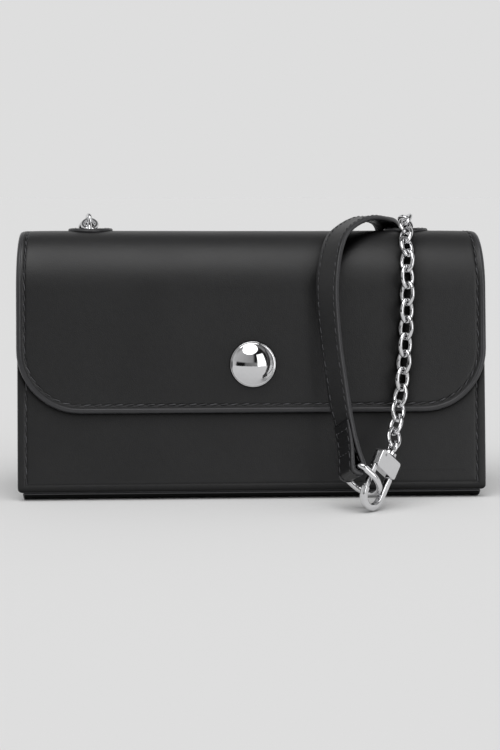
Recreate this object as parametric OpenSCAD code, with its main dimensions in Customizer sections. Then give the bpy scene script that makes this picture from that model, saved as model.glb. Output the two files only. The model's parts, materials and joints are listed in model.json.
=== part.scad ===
// Small flap bag of black leather with a domed snap, chain ends and a leather strap.
// The front faces -Y, X runs across, Z is up. The origin is on the floor under the bag's middle.

/* [Body] */
// Width across the seam flanges
body_w = 194; // [170:1:230]
// Height of the body under the flap
body_h = 107; // [100:1:130]
// Depth at the base, front to back
body_d = 56; // [50:1:72]
// Lean of the front face from upright, in degrees
front_lean = 8; // [5:0.5:11]
// Radius over which the front rolls into the top
shoulder_r = 24; // [20:1:28]
// Radius of the top rear edge
rear_r = 11; // [9:0.5:14]
// Radius of the long edges of the base
base_r = 6; // [5.5:0.5:8]
// Thickness of the body leather
leather_t = 1.6; // [1.2:0.1:2]
// Thickness of the stiffening boards
board_t = 1; // [0.6:0.1:1.4]
// Thickness of the lining
lining_t = 0.8; // [0.5:0.1:1]
// Thickness of the gusset leather
gusset_t = 1.4; // [1:0.1:1.8]
// Width of the seam flange outside each gusset
flange_w = 4.8; // [3:0.1:6]
// Height of the seam between the front and the base
base_seam_z = 3; // [2:0.1:4]
// Top edge of the front panel, under the flap
front_top_z = 82; // [74:1:84]
// How far forward the back panel reaches over the top
mouth_y = 2; // [1:0.5:6]

/* [Flap] */
// Thickness of the flap's leather face
flap_face_t = 1.3; // [1:0.1:1.8]
// Thickness of the flap's lining leather
flap_back_t = 1.1; // [0.9:0.1:1.5]
// Air between the flap and the body
flap_gap = 0.3; // [0.3:0.05:0.5]
// Height of the flap's lower edge
flap_edge_z = 36; // [30:1:42]
// Radius of the flap's lower corners
flap_corner_r = 26; // [16:1:32]
// Distance of the fold behind the body's middle
hinge_y = 2.5; // [2:0.5:4]
// Lower edge of the flap's sewn root, down the back
root_edge_z = 80; // [66:1:88]
// Thickness of the stiffener inside the flap
flap_board_t = 0.5; // [0.3:0.1:0.6]
// Margin of the stiffener inside the flap's edges
flap_board_inset = 9; // [7:0.5:14]
// Lower and upper ends of the stiffener
flap_board_z = [46, 80]; // [40:1:84]

/* [Snap] */
// Height of the snap's middle
snap_z = 55.5; // [52:0.5:64]
// Diameter of the domed cap
cap_d = 18.6; // [15:0.2:22]
// Height of the dome
cap_h = 3.6; // [2.4:0.1:5]
// Height of the cap's rim
cap_rim = 1; // [0.6:0.1:1.4]
// Diameter of the magnet halves
magnet_d = 16; // [12:0.5:17]
// Thickness of the socket half
socket_t = 2; // [1.6:0.1:2.2]
// Diameter of the pin on the stud half
pin_d = 4.6; // [3:0.2:5]
// Height of the pin
pin_h = 1.3; // [0.8:0.1:1.6]
// Diameter of the socket's hole
socket_bore_d = 6.6; // [6:0.2:8]
// Thickness of the snap's washers
washer_t = 0.5; // [0.4:0.1:0.6]

/* [Eyelets] */
// Distance of each eyelet from the middle
eyelet_x = 68; // [62:1:80]
// Distance of the eyelets behind the body's middle
eyelet_y = 13.5; // [13:0.5:15]
// Diameter of the leather patches
patch_d = 19; // [16:0.5:20]
// Thickness of the patches
patch_t = 1.2; // [1:0.1:2]
// Diameter of the chain's hole
eyelet_d = 9.5; // [8.7:0.1:9.7]
// Width of the leather tabs inside
tab_w = 10; // [8:0.5:14]
// Height of the tabs' lower ends
tab_z = 62; // [52:1:70]
// Mean radius of the rings inside
anchor_r = 5; // [4.6:0.2:5.6]
// Wire of the rings inside
anchor_wire = 1.6; // [1.2:0.1:1.8]

/* [Chain] */
// Length of a link
link_l = 10.7; // [10.4:0.1:11.2]
// Width of a link
link_w = 7; // [6.8:0.1:7.2]
// Wire of a link
link_wire = 1.7; // [1.5:0.05:1.7]

/* [Strap] */
// Width of the strap
strap_w = 11.5; // [10:0.5:12]
// Thickness of the strap, two layers
strap_t = 2; // [1.6:0.1:2.2]
// Wire of the strap's D rings
ring_wire = 2.5; // [2.2:0.1:2.6]
// Distance between the layers of the folded strap
fold_pitch = 4.6; // [4.5:0.1:5.5]

/* [Clasp] */
// Width of the clasp's block
block_w = 13.6; // [13.4:0.1:14.4]
// Depth of the block
block_d = 4.2; // [4:0.1:4.8]
// Height of the block
block_h = 7.6; // [7.4:0.1:8.2]
// Wire width of the hook, across its plane
hook_t = 2.6; // [2.4:0.1:2.8]
// Depth of the hook
hook_d = 2.7; // [2.4:0.1:2.9]
// Straight length of the hook under the block
hook_leg = 9.7; // [9.5:0.1:10]
// Diameter of the gate's pin
gate_pin_d = 1.2; // [1:0.05:1.4]

/* [Hidden] */

leather = [0.07, 0.07, 0.075];
edge_paint = [0.16, 0.16, 0.17];
suede = [0.13, 0.13, 0.14];
board = [0.55, 0.5, 0.42];
chrome = [0.8, 0.8, 0.82];
steel = [0.62, 0.62, 0.64];

half_w = body_w / 2;
half_d = body_d / 2;
over = 1;
arc_steps = 12;
join_gap = 0.3;
flap_t = flap_face_t + flap_back_t;
flap_out = flap_gap + flap_t;
panel_t = leather_t + board_t;
wall_t = panel_t + lining_t;
inner_x = half_w - flange_w - gusset_t;
base_side_step = 2;

// Centres of the profile's four rounded edges, as [y, z]
low_front = [-half_d + base_r * tan(front_lean) + base_r / cos(front_lean), base_r];
shoulder = [-half_d + (body_h - shoulder_r) * tan(front_lean) + shoulder_r / cos(front_lean),
    body_h - shoulder_r];
top_rear = [half_d - rear_r, body_h - rear_r];
low_rear = [half_d - base_r, base_r];

function arc_points(c, r, a0, a1) =
    [for (i = [0 : arc_steps]) c + r * [cos(a0 + (a1 - a0) * i / arc_steps),
        sin(a0 + (a1 - a0) * i / arc_steps)]];

// Side view of the body, drawn in by inset, or out where inset is negative
function profile(inset) = concat(
    arc_points(low_rear, base_r - inset, -90, 0),
    arc_points(top_rear, rear_r - inset, 0, 90),
    arc_points(shoulder, shoulder_r - inset, 90, 180 - front_lean),
    arc_points(low_front, base_r - inset, 180 - front_lean, 270));

// Place of the front face at height z
function front_y(z) = -half_d + z * tan(front_lean);

// The bag's front and rear extremes, without the strap, lie evenly about the origin
seat_y = -(half_d + flap_out + low_front[0] - base_r) / 2;
module seated() {
    translate([0, seat_y, 0]) children();
}

module across(x0, x1) {
    translate([x0, 0, 0]) rotate([90, 0, 90]) linear_extrude(x1 - x0) children();
}

module skin(inset0, inset1) {
    difference() {
        polygon(profile(inset0));
        polygon(profile(inset1));
    }
}

// The part of a side view that lies between two depths and two heights
module keep(y0, y1, z0, z1) {
    intersection() {
        children();
        translate([y0, z0]) square([y1 - y0, z1 - z0]);
    }
}

// Turns a child's +Z to the outward direction of the front face at the snap
module at_snap(inset) {
    translate([0, front_y(snap_z), snap_z]) rotate([90 - front_lean, 0, 0])
        translate([0, 0, -inset]) children();
}

module side(s) {
    if (s > 0) children();
    else mirror([1, 0, 0]) children();
}

module front_panel() {
    color(leather) difference() {
        across(-half_w, half_w)
            keep(-body_d, 0, base_seam_z + join_gap, front_top_z) skin(0, leather_t);
        at_snap(panel_t) translate([0, 0, -over])
            cylinder(d = magnet_d + join_gap, h = panel_t + 2 * over, $fn = 60);
    }
}

module base_panel() {
    color(leather) across(-half_w + base_side_step, half_w - base_side_step)
        keep(-body_d, body_d, -over, base_seam_z) skin(0, leather_t);
}

module back_panel() {
    color(leather) difference() {
        across(-half_w, half_w) union() {
            keep(0, body_d, base_seam_z + join_gap, body_h / 2) skin(0, leather_t);
            keep(mouth_y, body_d, body_h / 2, body_h + over) skin(0, leather_t);
        }
        eyelet_holes();
    }
}

module eyelet_holes() {
    for (s = [-1, 1]) translate([s * eyelet_x, eyelet_y, body_h - wall_t - over])
        cylinder(d = eyelet_d, h = wall_t + flap_out + patch_t + 2 * over, $fn = 48);
}

// A D-shaped side with its edges turned out against the front, base and back
module gusset() {
    color(leather) union() {
        across(inner_x, half_w - flange_w) polygon(profile(leather_t));
        across(half_w - flange_w, half_w) union() {
            keep(-body_d, 0, base_seam_z + join_gap, front_top_z)
                skin(leather_t, leather_t + gusset_t);
            keep(0, body_d, base_seam_z + join_gap, body_h - rear_r)
                skin(leather_t, leather_t + gusset_t);
        }
        across(half_w - flange_w, half_w - base_side_step)
            keep(low_front[0], low_rear[0], 0, base_r) skin(leather_t, leather_t + gusset_t);
    }
}

module board_sheet() {
    color(board) across(-inner_x + board_t, inner_x - board_t) children();
}

module front_board() {
    difference() {
        board_sheet() keep(-body_d, 0, base_r + board_t, front_top_z - base_r)
            skin(leather_t, panel_t);
        at_snap(panel_t) translate([0, 0, -over])
            cylinder(d = magnet_d + join_gap, h = panel_t + 2 * over, $fn = 60);
    }
}

module back_board() {
    board_sheet() keep(0, body_d, base_r + board_t, top_rear[1] - base_r)
        skin(leather_t, panel_t);
}

module base_board() {
    board_sheet() keep(low_front[0], low_rear[0], 0, base_r) skin(leather_t, panel_t);
}

// A sewn bag of thin leather: a trough with two closed ends and an open mouth
module lining() {
    lining_x = inner_x - join_gap;
    color(suede) difference() {
        union() {
            across(-lining_x, lining_x) union() {
                keep(-body_d, 0, 0, front_top_z - join_gap) skin(panel_t, wall_t);
                keep(0, body_d, 0, body_h / 2) skin(panel_t, wall_t);
                keep(mouth_y, body_d, body_h / 2, body_h) skin(panel_t, wall_t);
            }
            for (s = [-1, 1]) side(s) across(lining_x - lining_t, lining_x)
                polygon(profile(panel_t));
        }
        eyelet_holes();
        at_snap(panel_t + washer_t) translate([0, 0, -over]) cylinder(d = pin_d, h = 2 * over);
    }
}

// A flat card pocket on the back wall of the lining
pocket_w = 110;
pocket_z = [16, 68];
pocket_t = 0.8;
pocket_room = 1.2;
pocket_hem = 5;
module slip_pocket() {
    back_y = half_d - wall_t;
    pocket_h = pocket_z[1] - pocket_z[0];
    color(suede) translate([-pocket_w / 2, back_y - pocket_room - pocket_t, pocket_z[0]])
        difference() {
            cube([pocket_w, pocket_t + pocket_room, pocket_h]);
            translate([pocket_hem, pocket_t, pocket_hem])
                cube([pocket_w - 2 * pocket_hem, pocket_room + over, pocket_h]);
        }
}

// The flap's fixed end, sewn to the top and down the back
module flap_root() {
    color(leather) difference() {
        across(-half_w, half_w) keep(hinge_y + join_gap, body_d, root_edge_z, body_h * 2)
            skin(-flap_out, 0);
        eyelet_holes();
    }
}

module eyelet_patch(s) {
    color(leather) intersection() {
        across(-body_w, body_w) keep(-half_d, body_d, body_h / 2, body_h * 2)
            skin(-flap_out - patch_t, -flap_out);
        translate([s * eyelet_x, eyelet_y, 0]) difference() {
            cylinder(d = patch_d, h = body_h * 2, $fn = 72);
            translate([0, 0, -over]) cylinder(d = eyelet_d, h = body_h * 2 + 2 * over, $fn = 48);
        }
    }
}

// Middle and lower end of each ring inside, and the tab that holds it
anchor_drop = 9.5;
anchor_lean = 36;
anchor_low = [eyelet_y + 2 * anchor_r * sin(anchor_lean),
    body_h - wall_t - anchor_drop - 2 * anchor_r * cos(anchor_lean)];
tab_t = 1.4;
tab_loop_w = 3;
tab_loop_r = anchor_wire / 2 + join_gap + tab_t;

module anchor_ring(s) {
    color(steel) translate([s * eyelet_x, anchor_low[0], anchor_low[1]])
        rotate([anchor_lean, 0, 0]) translate([0, 0, anchor_r]) rotate([90, 0, 0])
            rotate_extrude($fn = 48) translate([anchor_r, 0]) circle(d = anchor_wire, $fn = 20);
}

module chain_tab(s) {
    wall_y = half_d - wall_t;
    color(leather) translate([s * eyelet_x, 0, 0]) union() {
        translate([-tab_w / 2, wall_y - tab_t, tab_z])
            cube([tab_w, tab_t, anchor_low[1] - tab_z]);
        translate([-tab_loop_w / 2, anchor_low[0], anchor_low[1]]) rotate([0, 90, 0])
            difference() {
                union() {
                    cylinder(r = tab_loop_r, h = tab_loop_w, $fn = 40);
                    cube([tab_loop_r, wall_y - anchor_low[0], tab_loop_w]);
                }
                translate([0, 0, -over])
                    cylinder(r = tab_loop_r - tab_t, h = tab_loop_w + 2 * over, $fn = 40);
            }
    }
}

// The socket half sits in the front panel, with its washer behind the board
module magnet_socket() {
    color(steel) at_snap(0) translate([0, 0, -socket_t]) difference() {
        cylinder(d = magnet_d, h = socket_t, $fn = 60);
        translate([0, 0, -over])
            cylinder(d = socket_bore_d, h = socket_t + 2 * over, $fn = 40);
    }
}

module socket_washer() {
    color(steel) at_snap(socket_t) translate([0, 0, -washer_t]) difference() {
        cylinder(d = magnet_d, h = washer_t, $fn = 60);
        translate([0, 0, -over])
            cylinder(d = socket_bore_d, h = washer_t + 2 * over, $fn = 40);
    }
}

// Front view of the flap, drawn in by margin, as [x, z]
module flap_outline(margin, top_z) {
    r = flap_corner_r - margin;
    x = half_w - margin;
    z = flap_edge_z + margin;
    union() {
        translate([-x, z + r]) square([2 * x, top_z - z - r]);
        translate([-x + r, z]) square([2 * (x - r), r + over]);
        for (s = [-1, 1]) translate([s * (x - r), z + r]) circle(r = r, $fn = 96);
    }
}

module flap_sheet(inset0, inset1, margin, top_z) {
    intersection() {
        across(-body_w, body_w) keep(-body_d, hinge_y, flap_edge_z - over, body_h * 2)
            skin(inset0, inset1);
        translate([0, body_d, 0]) rotate([90, 0, 0])
            linear_extrude(2 * body_d) flap_outline(margin, top_z);
    }
}

module flap_outer() {
    color(leather) difference() {
        flap_sheet(-flap_out, -flap_gap - flap_back_t, 0, body_h * 2);
        at_snap(-flap_gap) cylinder(d = pin_d, h = flap_t + over, $fn = 40);
    }
}

module flap_board_shape() {
    intersection() {
        flap_sheet(-flap_gap - flap_back_t, -flap_gap - flap_back_t + flap_board_t,
            flap_board_inset, flap_board_z[1]);
        translate([-body_w, -body_d, flap_board_z[0]]) cube([2 * body_w, body_d, body_h]);
    }
}

module flap_lining() {
    color(suede) difference() {
        flap_sheet(-flap_gap - flap_back_t, -flap_gap, 0, body_h * 2);
        flap_board_shape();
        at_snap(-flap_gap) translate([0, 0, -over])
            cylinder(d = magnet_d + join_gap, h = flap_back_t + over, $fn = 60);
    }
}

module flap_board() {
    color(board) difference() {
        flap_board_shape();
        at_snap(-flap_gap) translate([0, 0, -over])
            cylinder(d = magnet_d + join_gap, h = flap_back_t + over, $fn = 60);
    }
}

// Domed cap, turned as a segment of a sphere on a short rim
module stud_cap() {
    dome_h = cap_h - cap_rim;
    dome_r = (cap_d * cap_d / 4 + dome_h * dome_h) / (2 * dome_h);
    color(chrome) at_snap(-flap_out) union() {
        intersection() {
            cylinder(d = cap_d, h = cap_h, $fn = 90);
            translate([0, 0, cap_rim + dome_h - dome_r]) sphere(r = dome_r, $fn = 120);
        }
        translate([0, 0, -flap_face_t]) cylinder(d = pin_d, h = flap_face_t + cap_rim, $fn = 40);
    }
}

module stud_washer() {
    color(steel) at_snap(-flap_gap - flap_back_t) translate([0, 0, -washer_t])
        cylinder(d = magnet_d, h = washer_t, $fn = 60);
}

module magnet_stud() {
    color(steel) at_snap(-flap_gap) union() {
        cylinder(d = magnet_d, h = flap_back_t - washer_t, $fn = 60);
        translate([0, 0, -pin_h]) cylinder(d = pin_d, h = pin_h, $fn = 40);
    }
}

// One oval link, long axis along Z, in the XZ plane
link_bend = (link_w - link_wire) / 2;
link_straight = link_l - link_w;
module link() {
    union() {
        for (s = [0, 180]) rotate([0, s, 0]) translate([0, 0, link_straight / 2])
            rotate([90, 0, 0]) rotate_extrude(angle = 180, $fn = 32)
                translate([link_bend, 0]) circle(d = link_wire, $fn = 16);
        for (s = [-1, 1]) translate([s * link_bend, 0, -link_straight / 2])
            cylinder(d = link_wire, h = link_straight, $fn = 16);
    }
}

// Smooth curve through the points of a list, n steps between two points
function blend_point(a, b, c, d, u) = (2 * b + (c - a) * u + (2 * a - 5 * b + 4 * c - d) * u * u
    + (3 * b - a - 3 * c + d) * u * u * u) / 2;
function smooth(p, n) = concat([for (i = [0 : len(p) - 2], j = [0 : n - 1])
    blend_point(p[max(i - 1, 0)], p[i], p[i + 1], p[min(i + 2, len(p) - 1)], j / n)],
    [p[len(p) - 1]]);
function unit(v) = v / norm(v);
function run(p, i = 0) = i > len(p) - 2 ? 0 : norm(p[i + 1] - p[i]) + run(p, i + 1);
function along(p, s, i = 0) = i > len(p) - 3 || s <= norm(p[i + 1] - p[i])
    ? p[i] + (p[i + 1] - p[i]) * s / norm(p[i + 1] - p[i])
    : along(p, s - norm(p[i + 1] - p[i]), i + 1);

// Links hooked into each other along a curve, each a quarter turn from the last
link_play = 0.2;
chain_pitch = link_l - 2 * link_wire - link_play;
function joint_points(p) = let (n = 2 * ceil(run(p) / chain_pitch / 2))
    [for (k = [0 : n]) along(p, run(p) * k / n)];
module links(joints, first, last, roll) {
    color(chrome) for (k = [first : last]) {
        d = unit(joints[k + 1] - joints[k]);
        translate((joints[k] + joints[k + 1]) / 2) rotate([atan2(-d[1], d[2]), 0, 0])
            rotate([0, asin(d[0]), 0]) rotate([0, 0, k % 2 == 0 ? roll : roll - 90]) link();
    }
}

// Place at an angle over the shoulder, or at height z on the front, off the flap's face
function on_shoulder(x, a, off) = [x, shoulder[0] + (shoulder_r + flap_out + off) * cos(a),
    shoulder[1] + (shoulder_r + flap_out + off) * sin(a)];
function on_front(x, z, off) = [x, front_y(z) - (flap_out + off) / cos(front_lean), z];

// Right chain: up out of the eyelet, over the shoulder and down the flap to the clasp
chain_off = 3.4;
hang = 1.3;
anchor_top_y = eyelet_y;
anchor_top_z = body_h - wall_t - anchor_drop;
right_route = smooth([[68, anchor_top_y, anchor_top_z - hang], [68, 14.5, 101], [68, 15.3, 106.5],
    [67.9, 14.9, 111.5], [67.6, 11.4, 112.3], [67.2, 8.6, 114.5], [66.6, 1.4, 114.7],
    on_shoulder(65.8, 106, chain_off),
    on_shoulder(64.9, 124, chain_off), on_shoulder(64.3, 148, chain_off),
    on_front(63.8, 84, chain_off), on_front(62.9, 66, chain_off), on_front(61.7, 52, chain_off),
    [60.2, -29.5, 42], [57.8, -36.4, 33.6], [55.3, -45.2, 25.4]], 8);
right_joints = joint_points(right_route);
right_roll = 50;
left_roll = 90;
inner_links = 3;
bend_links = 6;

// Left chain: up out of the eyelet, over the back edge and down behind
left_route = smooth([[-68, anchor_top_y, anchor_top_z - hang], [-68, 12.2, 101], [-68, 12.1, 106.5],
    [-68, 11.6, 109.1], [-68.4, 16, 111.5], [-69, 22.7, 114.5], [-69.6, 23.4, 114.5],
    [-70.4, 30.1, 110], [-71.2, 36.1, 98], [-72.5, 35.8, 88], [-75, 34.8, 74], [-78.4, 35, 57],
    [-83, 35.8, 38], [-86.4, 36.6, 26], [-90, 37.2, 15.2]], 8);
left_joints = joint_points(left_route);

module right_chain_inner() { links(right_joints, 0, inner_links - 1, right_roll); }
module chain_bend() { links(right_joints, inner_links, bend_links - 1, right_roll); }
module right_chain() { links(right_joints, bend_links, len(right_joints) - 2, right_roll); }
module left_chain() { links(left_joints, 0, len(left_joints) - 2, left_roll); }

// Flat strap swept along points, each with the direction of its width. Its front end is pared thin.
strap_round_share = 0.2;
function strap_ring_points(p, w, t, thick) = let (d = unit(t), s = unit(w - d * (w * d)),
    u = cross(d, s), a = strap_w / 2, b = thick / 2, c = thick * strap_round_share)
    [p + s * a + u * (b - c), p + s * (a - c) + u * b, p - s * (a - c) + u * b,
    p - s * a + u * (b - c), p - s * a - u * (b - c), p - s * (a - c) - u * b,
    p + s * (a - c) - u * b, p + s * a - u * (b - c)];
tail_share = 0.4;
tail_step_share = 0.15;
module sweep(pts, wid, first, last) {
    n = last - first + 1;
    rings = [for (i = [first : last]) strap_ring_points(pts[i], wid[i],
        pts[min(i + 1, len(pts) - 1)] - pts[max(i - 1, 0)],
        strap_t * min(1, tail_share + i * tail_step_share))];
    faces = concat(
        [for (i = [0 : n - 2], j = [0 : 7]) [i * 8 + j, i * 8 + (j + 1) % 8, (i + 1) * 8 + j]],
        [for (i = [0 : n - 2], j = [0 : 7])
            [i * 8 + (j + 1) % 8, (i + 1) * 8 + (j + 1) % 8, (i + 1) * 8 + j]],
        [for (j = [1 : 6]) [0, j + 1, j]],
        [for (j = [1 : 6]) [(n - 1) * 8, (n - 1) * 8 + j, (n - 1) * 8 + j + 1]]);
    polyhedron(points = [for (r = rings) each r], faces = faces);
}

// D ring at the front end of the strap: middle, and its turn from lying flat
ring_at = [43, -52.2, 11.9];
ring_turn = [-36, 43, -1];
ring_play = 0.6;
ring_half_w = strap_w / 2 + ring_play + ring_wire / 2;
ring_half_l = 6.6;
function about_x(v, a) = [v[0], v[1] * cos(a) - v[2] * sin(a), v[1] * sin(a) + v[2] * cos(a)];
function about_y(v, a) = [v[0] * cos(a) + v[2] * sin(a), v[1], v[2] * cos(a) - v[0] * sin(a)];
function about_z(v, a) = [v[0] * cos(a) - v[1] * sin(a), v[0] * sin(a) + v[1] * cos(a), v[2]];
function turned(v, r) = about_z(about_y(about_x(v, r[0]), r[1]), r[2]);
ring_bar = ring_at + turned([-ring_half_l, 0, 0], ring_turn);
ring_side = turned([0, -1, 0], ring_turn);

// The strap's end goes round the ring's bar: down in front, under it and up behind
loop_r = ring_wire / 2 + join_gap + strap_t / 2;
loop_lean = [0.14, -0.38, -0.91];
loop_down = unit(loop_lean - ring_side * (loop_lean * ring_side));
loop_out = cross(loop_down, ring_side);
function loop_point(a) = ring_bar + loop_r * (loop_out * cos(a) + loop_down * sin(a));
tail_l = 19.5;
neck_l = 15.5;
tail_lift_shares = [0.45, 0.45, 0.65];
tail_back_shares = [1, 0.72, 0.4];
neck_lift_shares = [0.7, 0.45];
neck_back_shares = [0.5, 1];
tail_points = [for (i = [0 : 2]) ring_bar + loop_out * strap_t * tail_lift_shares[i]
    - loop_down * tail_l * tail_back_shares[i]];
loop_points = [for (a = [0, 45, 90, 135, 180]) loop_point(a)];
neck_points = [for (i = [0 : 1]) ring_bar - loop_out * strap_t * neck_lift_shares[i]
    - loop_down * neck_l * neck_back_shares[i]];

// The strap's run over the bag, from the top of the loop to the fold behind
strap_points = [[34.4, -43, 40], [32.9, -39, 51.5], [31.5, -35.3, 63], [30.5, -32.2, 74.5],
    [30.1, -29, 85], [30.8, -25.2, 94], [32.8, -19.5, 102.4], [36, -12, 108.6], [41.4, -4.4, 112.7],
    [48.6, 4.2, 115.2], [55, 12.6, 114.8], [60, 20.6, 113.1], [62.8, 28.8, 108],
    [63.3, 33.6, 98], [62.6, 34.4, 86], [62.4, 35.8, 70], [62.2, 36.6, 54], [62, 37, 40],
    [62, 37.2, 28]];
strap_widths = [[0.56, -0.8, 0.18], [0.58, -0.8, 0.12], [0.6, -0.79, 0.1], [0.63, -0.77, 0.08],
    [0.65, -0.76, 0.06], [0.66, -0.75, 0.06], [0.6, -0.79, 0.08], [0.55, -0.83, 0.06],
    [0.56, -0.82, 0.1], [0.62, -0.78, 0.07], [0.72, -0.69, 0.05], [0.82, -0.56, 0.1],
    [0.92, -0.38, 0.1], [0.98, -0.2, 0], [0.97, 0.24, 0], [0.72, 0.7, 0], [0.34, 0.94, 0],
    [0.08, 1, 0], [0, 1, 0]];
front_count = 8;
arch_count = 11;

// The folded strap lies behind the bag: three layers along X, the strap flat
fold_y = 37.2;
fold_left = -73;
fold_right = 84;
fold_step = 6;
drop_x = 62;
tie_t = 0.4;
tie_play = 0.1;
fold_low_z = tie_t + 2 * tie_play + strap_t / 2;
fold_top_z = fold_low_z + 2 * fold_pitch;
turn_r = 8;
turn_points = [for (a = [0 : 15 : 90])
    [drop_x - turn_r + turn_r * cos(a), fold_y, fold_top_z + turn_r - turn_r * sin(a)]];

neck_count = len(tail_points) + len(loop_points) + len(neck_points);
whole_points = smooth(concat(tail_points, loop_points, neck_points, strap_points, turn_points), 2);
whole_widths = smooth(concat([for (i = [1 : neck_count]) ring_side], strap_widths,
    [for (p = turn_points) [0, 1, 0]]), 2);
front_end = 2 * (neck_count + front_count - 1);
arch_end = 2 * (neck_count + arch_count - 1);
back_end = len(whole_points) - 1;

// The fold's middle line, whose least distance to itself shows the air between its layers
fold_line = concat([for (x = [drop_x - turn_r : -fold_step : fold_left]) [x, fold_top_z]],
    [for (a = [0 : 30 : 180]) [fold_left - fold_pitch / 2 * sin(a),
        fold_low_z + 1.5 * fold_pitch + fold_pitch / 2 * cos(a)]],
    [for (x = [fold_left : fold_step : fold_right]) [x, fold_low_z + fold_pitch]],
    [for (a = [0 : 30 : 180]) [fold_right + fold_pitch / 2 * sin(a),
        fold_low_z + fold_pitch / 2 + fold_pitch / 2 * cos(a)]],
    [for (x = [fold_right : -fold_step : fold_left]) [x, fold_low_z]]);
fold_gaps = [for (i = [0 : len(fold_line) - 1], j = [i + 8 : 1 : len(fold_line) - 1])
    norm(fold_line[i] - fold_line[j]) - strap_t];
echo(str("least gap between the folded strap's layers: ", min(fold_gaps), " mm"));

module fold_turn(x, z, s) {
    translate([x, z]) intersection() {
        difference() {
            circle(r = fold_pitch / 2 + strap_t / 2, $fn = 48);
            circle(r = fold_pitch / 2 - strap_t / 2, $fn = 48);
        }
        translate([s > 0 ? 0 : -fold_pitch, -fold_pitch]) square([fold_pitch, 2 * fold_pitch]);
    }
}

far_bar_x = -86;
far_bar_z = fold_low_z + loop_r;
module strap_hank() {
    color(leather) translate([0, fold_y + strap_w / 2, 0]) rotate([90, 0, 0])
        linear_extrude(strap_w) union() {
            translate([fold_left, fold_top_z - strap_t / 2])
                square([drop_x - turn_r - fold_left, strap_t]);
            translate([fold_left, fold_low_z + fold_pitch - strap_t / 2])
                square([fold_right - fold_left, strap_t]);
            translate([far_bar_x, fold_low_z - strap_t / 2])
                square([fold_right - far_bar_x, strap_t]);
            fold_turn(fold_left, fold_low_z + 1.5 * fold_pitch, -1);
            fold_turn(fold_right, fold_low_z + fold_pitch / 2, 1);
            translate([far_bar_x, far_bar_z]) intersection() {
                difference() {
                    circle(r = loop_r + strap_t / 2, $fn = 48);
                    circle(r = loop_r - strap_t / 2, $fn = 48);
                }
                translate([-2 * loop_r, -2 * loop_r]) square([2 * loop_r, 4 * loop_r]);
            }
            far_tail();
        }
}

// The far end's tail comes down from the loop and lies on the lowest layer
far_tail_near = 8;
far_tail_l = 24;
module far_tail() {
    x1 = far_bar_x + far_tail_near;
    x2 = far_bar_x + far_tail_l;
    z0 = far_bar_z + loop_r;
    z1 = fold_low_z + strap_t + tie_play;
    polygon([[far_bar_x, z0 - strap_t / 2], [x1, z1 - strap_t / 2], [x2, z1 - strap_t / 2],
        [x2, z1 + strap_t / 2], [x1, z1 + strap_t / 2], [far_bar_x, z0 + strap_t / 2]]);
}

module strap_front() {
    color(leather) sweep(whole_points, whole_widths, 0, front_end);
}

module strap_arch() {
    color(leather) sweep(whole_points, whole_widths, front_end, arch_end);
}

module strap_back() {
    color(leather) sweep(whole_points, whole_widths, arch_end, back_end);
}

tie_w = 6;
tie_x = -10;
module hank_tie() {
    inner_h = fold_top_z - fold_low_z + strap_t + 2 * tie_play;
    inner_d = strap_w + 2 * tie_play;
    color(edge_paint) translate([tie_x, fold_y, fold_low_z - strap_t / 2 - tie_play]) difference() {
        translate([0, -inner_d / 2 - tie_t, -tie_t])
            cube([tie_w, inner_d + 2 * tie_t, inner_h + 2 * tie_t]);
        translate([-over, -inner_d / 2, 0]) cube([tie_w + 2 * over, inner_d, inner_h]);
    }
}

// A D ring lying flat: its bar along Y at the -X end, its round end towards +X
ring_corner_r = 2;
module d_ring() {
    w = ring_half_w;
    l = ring_half_l;
    color(chrome) union() {
        translate([l - w, 0, 0]) rotate([0, 0, -90]) rotate_extrude(angle = 180, $fn = 48)
            translate([w, 0]) circle(d = ring_wire, $fn = 24);
        for (s = [-1, 1]) translate([ring_corner_r - l, s * w, 0]) rotate([0, 90, 0])
            cylinder(d = ring_wire, h = 2 * l - w - ring_corner_r, $fn = 24);
        translate([-l, ring_corner_r - w, 0]) rotate([-90, 0, 0])
            cylinder(d = ring_wire, h = 2 * (w - ring_corner_r), $fn = 24);
        for (s = [0, 1]) mirror([0, s, 0]) translate([ring_corner_r - l, w - ring_corner_r, 0])
            rotate([0, 0, 90]) rotate_extrude(angle = 90, $fn = 48)
                translate([ring_corner_r, 0]) circle(d = ring_wire, $fn = 24);
    }
}

module strap_ring() {
    translate(ring_at) rotate(ring_turn) d_ring();
}

far_ring_tilt = 75;
module far_ring() {
    translate([far_bar_x, fold_y, far_bar_z]) rotate([0, far_ring_tilt, 0]) mirror([1, 0, 0])
        translate([ring_half_l, 0, 0]) d_ring();
}

// The clasp stands on its hook and leans back. Its own frame has +Z up to the chain,
// X across its face with the gate at -X, and its face towards -Y.
clasp_at = [51.8, -49.1, 18.3];
clasp_turn = [1, 35.4, 44.2];
module clasp() {
    translate(clasp_at) rotate(clasp_turn) children();
}

hook_r = block_w / 2 - hook_t / 2;
hook_z = -block_h / 2 - hook_leg;
gate_pin_x = -block_w / 2 + hook_t;
gate_pin_drop = 1.6;
gate_pin_z = block_h / 2 - gate_pin_drop;
swivel_d = 3;
swivel_flange_d = 5.8;
swivel_flange_t = 1;
swivel_head_d = 3.6;
swivel_head_h = 1.4;
swivel_neck_h = 1.4;
swivel_eye_r = 2.3;
swivel_eye_wire = 1.6;
play = 0.1;

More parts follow.
